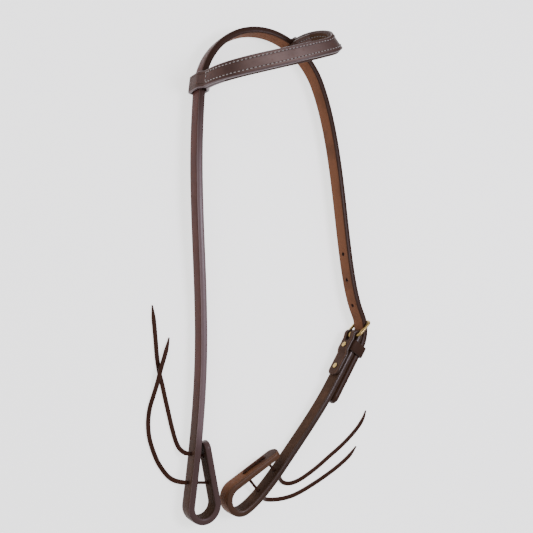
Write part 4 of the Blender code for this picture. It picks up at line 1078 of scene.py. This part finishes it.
class KeeperOperator(bpy.types.Operator):
    """Make the keeper that holds the strap's end against the cheek"""
    bl_idname = "headstall.keeper"
    bl_label = "Keeper"

    def execute(self, context):
        strap = context.scene.headstall_strap
        seat = SEAT_GAP + KEEPER_THICKNESS / 2
        inner = CHEEK_INNER_FACE - seat
        places = rounded_box(inner, BILLET_OFFSET + STRAP_THICKNESS / 2 + seat, LIFT - seat,
                             LIFT + STRAP_WIDTH + seat, KEEPER_CORNER_RADIUS, 6)
        middle = -(KEEPER_START + KEEPER_WIDTH / 2)
        stations = [Station(at_bar(middle, out, tall), CHEEK_UP,
                            CHEEK_OUT * math.cos(angle) + UP * math.sin(angle),
                            KEEPER_WIDTH, KEEPER_THICKNESS) for out, tall, angle in places]
        finish = leather_finish("keeper_leather", strap.near, strap.inside, strap.dark_edge, strap.polish,
                                groove_place=NO_GROOVE)
        hole = hole_cutter(at_bar(-UPPER_SCREW_PLACE, inner, MID_LIFTED), CHEEK_OUT, POST_RADIUS + SEAT_GAP,
                           KEEPER_HOLE_REACH)
        add_piece("strap_keeper_leather", section_loft(stations, KEEPER_ROUNDING, closed=True), finish,
                  "strap_keeper", cutters=[hole])
        return {"FINISHED"}


class BuckleOperator(bpy.types.Operator):
    """Make the buckle's brass frame and its tongue"""
    bl_idname = "headstall.buckle"
    bl_label = "Buckle"

    def execute(self, context):
        sides = context.scene.headstall_brass.sides
        places = rounded_box(0, FRAME_LENGTH, MID_LIFTED - FRAME_HALF_WIDTH, MID_LIFTED + FRAME_HALF_WIDTH,
                             FRAME_CORNER_RADIUS, 12, 180)
        ring = [BAR_CENTRE + FRAME_UP * reach + UP * tall for reach, tall, _ in places]
        for node, mesh in (("buckle_frame", tube(ring, WIRE_RADIUS, sides, closed=True)),
                           ("buckle_tongue", self.tongue(sides))):
            add_piece(node + "_brass", mesh, brass(context), node, body=node)
        return {"FINISHED"}

    def tongue(self, sides):
        points = []
        for index in range(27):
            angle = math.radians(TONGUE_WRAP_ANGLE * (1 - index / 26))
            place = FRAME_OUT * math.cos(angle) - FRAME_UP * math.sin(angle)
            points.append(BAR_CENTRE + place * TONGUE_OFFSET + UP * MID_LIFTED)
        base = points[-1]
        length = FRAME_LENGTH + TONGUE_OVERHANG
        points += [base + FRAME_UP * (length * index / 12) for index in range(1, 13)]
        tip = points[-1]
        points += [tip + FRAME_UP * step for step in (0.0003, 0.0005, 0.0006)]
        mesh = tube(points, TONGUE_RADIUS, sides)
        for vertex in mesh.verts:
            beyond = (vertex.co - tip).dot(FRAME_UP)
            if beyond > 0:
                share = math.sqrt(max(1 - (beyond / 0.00062) ** 2, 0.02))
                middle = tip + FRAME_UP * beyond
                vertex.co = middle + (vertex.co - middle) * share
        return mesh


class ScrewsOperator(bpy.types.Operator):
    """Make the two-piece screws that hold the fold and the keeper"""
    bl_idname = "headstall.screws"
    bl_label = "Screws"

    def execute(self, context):
        head, top = SCREW_HEAD_RADIUS, SCREW_HEAD_HEIGHT
        domed = [(head * math.sin(math.radians(angle)), top * (0.42 + 0.58 * math.cos(math.radians(angle))))
                 for angle in range(10, 91, 10)]
        for name, place, fold_offset in (("upper", UPPER_SCREW_PLACE, FOLD_OPEN_OFFSET),
                                         ("lower", LOWER_SCREW_PLACE, FOLD_SHUT_OFFSET)):
            inner_seat = fold_offset - FOLD_THICKNESS / 2 - SEAT_GAP
            outer_seat = CHEEK_OUTER_FACE + SEAT_GAP
            stack = outer_seat - inner_seat
            post = [(0, top), (head * 0.86, top), (head * 0.96, top * 0.85), (head, top * 0.55), (head, 0),
                    (POST_RADIUS, 0), (POST_RADIUS, POST_WALL - stack), (POST_BORE_RADIUS, POST_WALL - stack),
                    (POST_BORE_RADIUS, -POST_WALL), (0, -POST_WALL)]
            end = SHANK_SHORT_OF_POST - stack
            screw = [(0, top), *domed, (head, 0), (SHANK_RADIUS, 0), (SHANK_RADIUS, end), (0, end)]
            foot = at_bar(-place, inner_seat, MID_LIFTED)
            slot = box_mesh(foot - CHEEK_OUT * (top + SCREW_SLOT_DEPTH), CHEEK_UP, CHEEK_OUT, UP,
                            (SCREW_SLOT_WIDTH, SCREW_SLOT_DEPTH * 4, head * 4))
            far_foot = at_bar(-place, outer_seat, MID_LIFTED)
            for node, mesh, cutters in ((f"screw_post_{name}", lathe(post, far_foot, CHEEK_OUT), ()),
                                        (f"screw_{name}", lathe(screw, foot, -CHEEK_OUT), [slot])):
                add_piece(node + "_brass", mesh, brass(context), node, cutters=cutters, angle=25.0)
        return {"FINISHED"}


def ear_end_frame(angle):
    outward = heading_vector(angle)
    return outward, turned(outward, -90)


def ear_arch():
    """Middle, width direction and normal along the ear band, with the distances along it."""
    neck = UP * (LIFT + STRAP_WIDTH + EAR_LOOP_NECK)
    off_out, off_along = ear_end_frame(EAR_OFF_ANGLE)
    poll_out, poll_along = ear_end_frame(EAR_POLL_ANGLE)
    start = CROWN_CENTRE + off_out * CROWN_RADIUS + neck
    end = CROWN_CENTRE + poll_out * CROWN_RADIUS + neck
    over = (end - start).normalized()
    peak = end + UP * EAR_PEAK_RISE - over * EAR_PEAK_BACK - turned(over, 90) * EAR_PEAK_INWARD
    level = heading_vector(EAR_PEAK_HEADING)
    fall, tilt = math.radians(EAR_PEAK_FALL), math.radians(EAR_PEAK_TILT)
    heading = level * math.cos(fall) - UP * math.sin(fall)
    leg = held_curve(start, UP * EAR_OFF_PULL, peak, heading * EAR_PEAK_PULL_IN, EAR_LEG_STATIONS)
    turn = held_curve(peak, heading * EAR_PEAK_PULL_OUT, end, -UP * EAR_POLL_PULL, EAR_TURN_STATIONS)
    points = joined(leg, turn)
    lengths = distances(points)
    peak_length = lengths[EAR_LEG_STATIONS]
    tangents = directions(points)
    tangents[0], tangents[-1] = UP.copy(), -UP
    peak_across = turned(level, 90) * math.cos(tilt) + UP * math.sin(tilt)
    frames = []
    for point, tangent, length in zip(points, tangents, lengths):
        if length < peak_length:
            share = smooth_step(length / peak_length)
            across = off_along * (1 - share) + peak_across * share
        else:
            share = smooth_step(((length - peak_length) / (lengths[-1] - peak_length)) ** EAR_TWIST_HOLD)
            across = peak_across * (1 - share) - poll_along * share
        across = (across - tangent * across.dot(tangent)).normalized()
        frames.append((point, across, tangent.cross(across)))
    return frames, lengths


def ear_loop(angle):
    outward, along = ear_end_frame(angle)
    reach = STRAP_THICKNESS / 2 + LOOP_CLEARANCE + EAR_PLY / 2
    bottom = LIFT - LOOP_CLEARANCE - EAR_PLY / 2
    shoulder = LIFT + STRAP_WIDTH + LOOP_CLEARANCE
    radius = EAR_LOOP_CORNER_RADIUS
    rise = [bottom + radius + (shoulder - bottom - radius) * index / 4 for index in range(1, 5)]
    points = [(-reach, tall) for tall in reversed(rise)]
    for first_angle, side in ((180, -1), (270, 1)):
        for step in range(7):
            turn = math.radians(first_angle + 15 * step)
            points.append((side * (reach - radius) + radius * math.cos(turn),
                           bottom + radius * (1 + math.sin(turn))))
    points += [(reach, tall) for tall in rise]
    base = CROWN_CENTRE + outward * CROWN_RADIUS
    return [base + outward * out + UP * tall for out, tall in points], along


def ply_stations(points, acrosses):
    stations = []
    for point, tangent, across in zip(points, directions(points), acrosses):
        square = (across - tangent * across.dot(tangent)).normalized()
        stations.append(Station(point, square, tangent.cross(square), EAR_WIDTH, EAR_PLY))
    return stations


class EarPieceOperator(bpy.types.Operator):
    """Make the ear piece's folded face and its lining"""
    bl_idname = "headstall.ear_piece"
    bl_label = "Ear piece"

    def execute(self, context):
        strap = context.scene.headstall_strap
        frames, lengths = ear_arch()
        half_gap = (EAR_PLY + SEAT_GAP) / 2
        outer, inner = ([point + normal * offset for point, _, normal in frames]
                        for offset in (half_gap, -half_gap))
        acrosses = [across for _, across, _ in frames]
        off_tail = next(index for index, length in enumerate(lengths)
                        if length >= EAR_TAIL_LENGTH + EAR_OFF_TAIL_EXTRA)
        poll_tail = next(index for index in range(len(lengths))
                         if lengths[-1] - lengths[-1 - index] >= EAR_TAIL_LENGTH)
        off_loop, off_across = ear_loop(EAR_OFF_ANGLE)
        poll_loop, poll_across = ear_loop(EAR_POLL_ANGLE)
        points = inner[off_tail::-1] + off_loop + outer + poll_loop[::-1] + inner[:-poll_tail - 2:-1]
        turns = (acrosses[off_tail::-1] + [off_across] * len(off_loop) + acrosses
                 + [-poll_across] * len(poll_loop) + acrosses[:-poll_tail - 2:-1])
        groove = 1 - 2 * context.scene.headstall_sewing.margin / EAR_WIDTH
        start = distances(points)[off_tail + 1 + len(off_loop)]
        peak = lengths[EAR_LEG_STATIONS]
        # The ear band's edges carry a painted highlight, dimmed to 0.62, up to near its peak, and its span
        # over the bend is painted paler as a painted highlight
        finish = leather_finish("ear_leather", strap.ear, strap.back, scaled_colour(strap.edge, 0.62),
                                strap.polish - 0.06, groove_place=groove * 1.07, groove_width=0.09,
                                dark_edge_color=strap.dark_edge, dark_edge_from=start + peak - 0.08,
                                drawn_color=strap.painted_ear_highlight, drawn_from=start + peak * 0.2,
                                drawn_until=start + peak * 0.72, drawn_length=0.05)
        add_piece("ear_face_leather", section_loft(ply_stations(points, turns), EAR_ROUNDING), finish,
                  "ear_face", "ear_piece")
        middle = slice(off_tail + 1, -poll_tail - 1)
        off_end, poll_end = inner[off_tail], inner[-poll_tail - 1]
        off_end = off_end + (inner[middle][0] - off_end).normalized() * SEAT_GAP
        poll_end = poll_end + (inner[middle][-1] - poll_end).normalized() * SEAT_GAP
        stations = ply_stations([off_end] + inner[middle] + [poll_end],
                                [acrosses[off_tail]] + acrosses[middle] + [acrosses[-poll_tail - 1]])
        # The lining's visible back takes the dark inside colour, partly painted shade inside the ear piece
        finish = leather_finish("ear_lining_leather", strap.face, strap.inside, strap.dark_edge, 0.5,
                                groove_place=NO_GROOVE, glaze=0.05)
        add_piece("ear_lining_leather", section_loft(stations, EAR_ROUNDING), finish,
                  "ear_lining", "ear_piece")
        return {"FINISHED"}


def stitch_tree():
    """Geometry nodes that set stitches along closed lines."""
    tree = bpy.data.node_groups.new("stitch_rows", "GeometryNodeTree")
    for label, way, kind in (("Lines", "INPUT", "Geometry"), ("Pitch", "INPUT", "Float"),
                             ("Stitch Length", "INPUT", "Float"), ("Thread Thickness", "INPUT", "Float"),
                             ("Finish", "INPUT", "Material"), ("Stitches", "OUTPUT", "Geometry")):
        tree.interface.new_socket(name=label, in_out=way, socket_type="NodeSocket" + kind)
    given = tree.nodes.new("NodeGroupInput").outputs

    def added(kind, inputs, **settings):
        return add_node(tree, kind, inputs, **settings).outputs[0]

    curve = added("GeometryNodeMeshToCurve", {"Mesh": given["Lines"]})
    spaced = added("GeometryNodeResampleCurve", {"Curve": curve, "Length": given["Pitch"]}, mode="LENGTH")
    along = added("GeometryNodeInputTangent", {})
    turn = added("FunctionNodeAlignRotationToVector", {"Vector": along}, axis="X")
    ball = added("GeometryNodeMeshUVSphere", {"Segments": 10, "Rings": 8, "Radius": 0.5})
    thick = given["Thread Thickness"]
    size = added("ShaderNodeCombineXYZ", {"X": given["Stitch Length"], "Y": thick, "Z": thick})
    shaped = added("GeometryNodeTransform", {"Geometry": ball, "Scale": size})
    soft = added("GeometryNodeSetShadeSmooth", {"Geometry": shaped})
    placed = added("GeometryNodeInstanceOnPoints", {"Points": spaced, "Instance": soft, "Rotation": turn})
    real = added("GeometryNodeRealizeInstances", {"Geometry": placed})
    done = added("GeometryNodeSetMaterial", {"Geometry": real, "Material": given["Finish"]})
    tree.links.new(done, tree.nodes.new("NodeGroupOutput").inputs[0])
    return tree


class EarSewingOperator(bpy.types.Operator):
    """Sew the ear piece's two plies together, a row along each edge"""
    bl_idname = "headstall.ear_sewing"
    bl_label = "Ear sewing"

    def execute(self, context):
        sewing = context.scene.headstall_sewing
        frames, lengths = ear_arch()
        side = EAR_WIDTH / 2 - sewing.margin
        lines = bmesh.new()
        inner = lines.verts.layers.float.new("inner_side")
        for direction in (1, -1):
            depth = direction * (EAR_PLY + SEAT_GAP / 2 + EAR_PLY * SECTION_SWELL
                                 + sewing.thickness * THREAD_OUT_SHARE)
            kept = [(point + normal * depth, across)
                    for (point, across, normal), length in zip(frames, lengths)
                    if THREAD_SETBACK <= length <= lengths[-1] - THREAD_SETBACK]
            path = [point + across * side for point, across in kept]
            path += [point - across * side for point, across in reversed(kept)]
            row = [lines.verts.new(point) for point in path]
            # inner_side marks the inner row, which the thread's finish paints in shade
            for vertex in row:
                vertex[inner] = 0.5 - direction * 0.5
            for first, second in zip(row, row[1:] + row[:1]):
                lines.edges.new((first, second))
        piece = add_object("ear_stitches", lines)
        tree = stitch_tree()
        modifier = piece.modifiers.new("stitches", "NODES")
        modifier.node_group = tree
        finish = thread_finish("thread", sewing.colour)
        values = {"Pitch": sewing.pitch, "Stitch Length": sewing.length, "Thread Thickness": sewing.thickness,
                  "Finish": finish}
        for label, value in values.items():
            modifier[tree.interface.items_tree[label].identifier] = value
        made_plain(piece)
        dress(piece, finish, "ear_thread", "ear_piece", 80.0)
        return {"FINISHED"}


def strap_leather(context):
    strap = context.scene.headstall_strap
    # Painted highlight on the edges from the off loop up to the crown, and painted shade on the back round
    # the off bit loop and its tail
    return leather_finish("strap_leather_shade_and_highlight", strap.face, strap.back, strap.edge, strap.polish,
                          oiled_color=strap.inside,
                          oiled_until=BIT_TAIL_LENGTH + 2.2 * math.pi * BIT_LOOP_RADIUS,
                          dark_edge_color=strap.dark_edge, dark_edge_from=CROWN_EDGE_DARK_FROM,
                          drawn_color=strap.near, drawn_from=-1.0, drawn_until=OFF_END_DARK_UNTIL,
                          drawn_length=0.08)


def brass(context):
    found = bpy.data.materials.get("polished_brass")
    return found or brass_finish("polished_brass", context.scene.headstall_brass.colour)


class StageOperator(bpy.types.Operator):
    """Set the camera, the soft light and the pale floor"""
    bl_idname = "headstall.stage"
    bl_label = "Stage"

    def execute(self, context):
        scene = context.scene
        stage = scene.headstall_stage
        self.camera(scene)
        self.floor(stage)
        world = bpy.data.worlds.new("soft_white")
        world.use_nodes = True
        background = world.node_tree.nodes["Background"].inputs
        background["Color"].default_value = (1, 1, 1, 1)
        background["Strength"].default_value = stage.fill_strength
        scene.world = world
        for name, place, size, power, colour in (
                ("key", (0.48, 0.12, 1.13), 0.40, stage.key_power * 1.5, (0.90, 0.86, 1.0)),
                ("side", (-1.1, 0.5, 0.9), 0.9, stage.key_power * 0.75, (1.0, 0.95, 0.9))):
            light = bpy.data.lights.new(name, "AREA")
            light.size = size
            light.energy = power
            light.color = colour
            lamp = bpy.data.objects.new(name, light)
            lamp.location = place
            lamp.rotation_euler = (-Vector(place)).to_track_quat("-Z", "Y").to_euler()
            scene.collection.objects.link(lamp)
        return {"FINISHED"}

    def camera(self, scene):
        side, front = math.radians(CAMERA_SIDE_ANGLE), math.radians(CAMERA_FRONT_ANGLE)
        back = Vector((-math.sin(side) * math.cos(front), -math.sin(front), math.cos(side) * math.cos(front)))
        top = Vector((0, 1, 0))
        top = (top - back * top.dot(back)).normalized()
        data = bpy.data.cameras.new("picture")
        data.sensor_width = SENSOR_MM
        data.lens = SENSOR_MM * FOCAL_SHARE
        data.clip_start = 0.01
        camera = bpy.data.objects.new("picture", data)
        stand = Matrix.Translation(CROWN_CENTRE + CAMERA_AIM + back * CAMERA_DISTANCE)
        camera.matrix_world = stand @ Matrix((top.cross(back), top, back)).transposed().to_4x4()
        scene.collection.objects.link(camera)
        scene.camera = camera

    def floor(self, stage):
        mesh = bmesh.new()
        bmesh.ops.create_grid(mesh, x_segments=2, y_segments=2, size=stage.floor_size / 2)
        for vertex in mesh.verts:
            vertex.co.z = -FLOOR_GAP
        floor = add_object("floor", mesh)
        material, _, shader, _ = new_material("pale_floor")
        shader["Base Color"].default_value = (*[stage.floor_tone] * 3, 1)
        shader["Roughness"].default_value = 0.9
        shader["Emission Color"].default_value = (1, 1, 1, 1)
        shader["Emission Strength"].default_value = 1.5
        floor.data.materials.append(material)


class HeadstallPanel(bpy.types.Panel):
    """Headstall settings and steps"""
    bl_idname = "VIEW3D_PT_headstall"
    bl_label = "Headstall"
    bl_space_type = "VIEW_3D"
    bl_region_type = "UI"
    bl_category = "Headstall"

    def draw(self, context):
        for name in SETTINGS:
            box = self.layout.box()
            settings = getattr(context.scene, name)
            box.label(text=settings.bl_rna.description)
            for key in settings.__annotations__:
                box.prop(settings, key)
        for operator in OPERATORS:
            self.layout.operator(operator.bl_idname)


SETTINGS = {"headstall_strap": StrapSettings, "headstall_lace": LaceSettings,
            "headstall_sewing": SewingSettings, "headstall_brass": BrassSettings,
            "headstall_stage": StageSettings}
OPERATORS = (StageOperator, LacesOperator, CrownStrapOperator, NearCheekOperator, KeeperOperator,
             BuckleOperator, ScrewsOperator, EarPieceOperator, EarSewingOperator)


def register():
    for cls in (*SETTINGS.values(), *OPERATORS, HeadstallPanel):
        bpy.utils.register_class(cls)
    for name, cls in SETTINGS.items():
        setattr(bpy.types.Scene, name, PointerProperty(type=cls))


def unregister():
    for name in SETTINGS:
        delattr(bpy.types.Scene, name)
    for cls in reversed((*SETTINGS.values(), *OPERATORS, HeadstallPanel)):
        bpy.utils.unregister_class(cls)


def main():
    register()
    for operator in OPERATORS:
        area, step = operator.bl_idname.split(".")
        getattr(getattr(bpy.ops, area), step)()


if __name__ == "__main__":
    main()
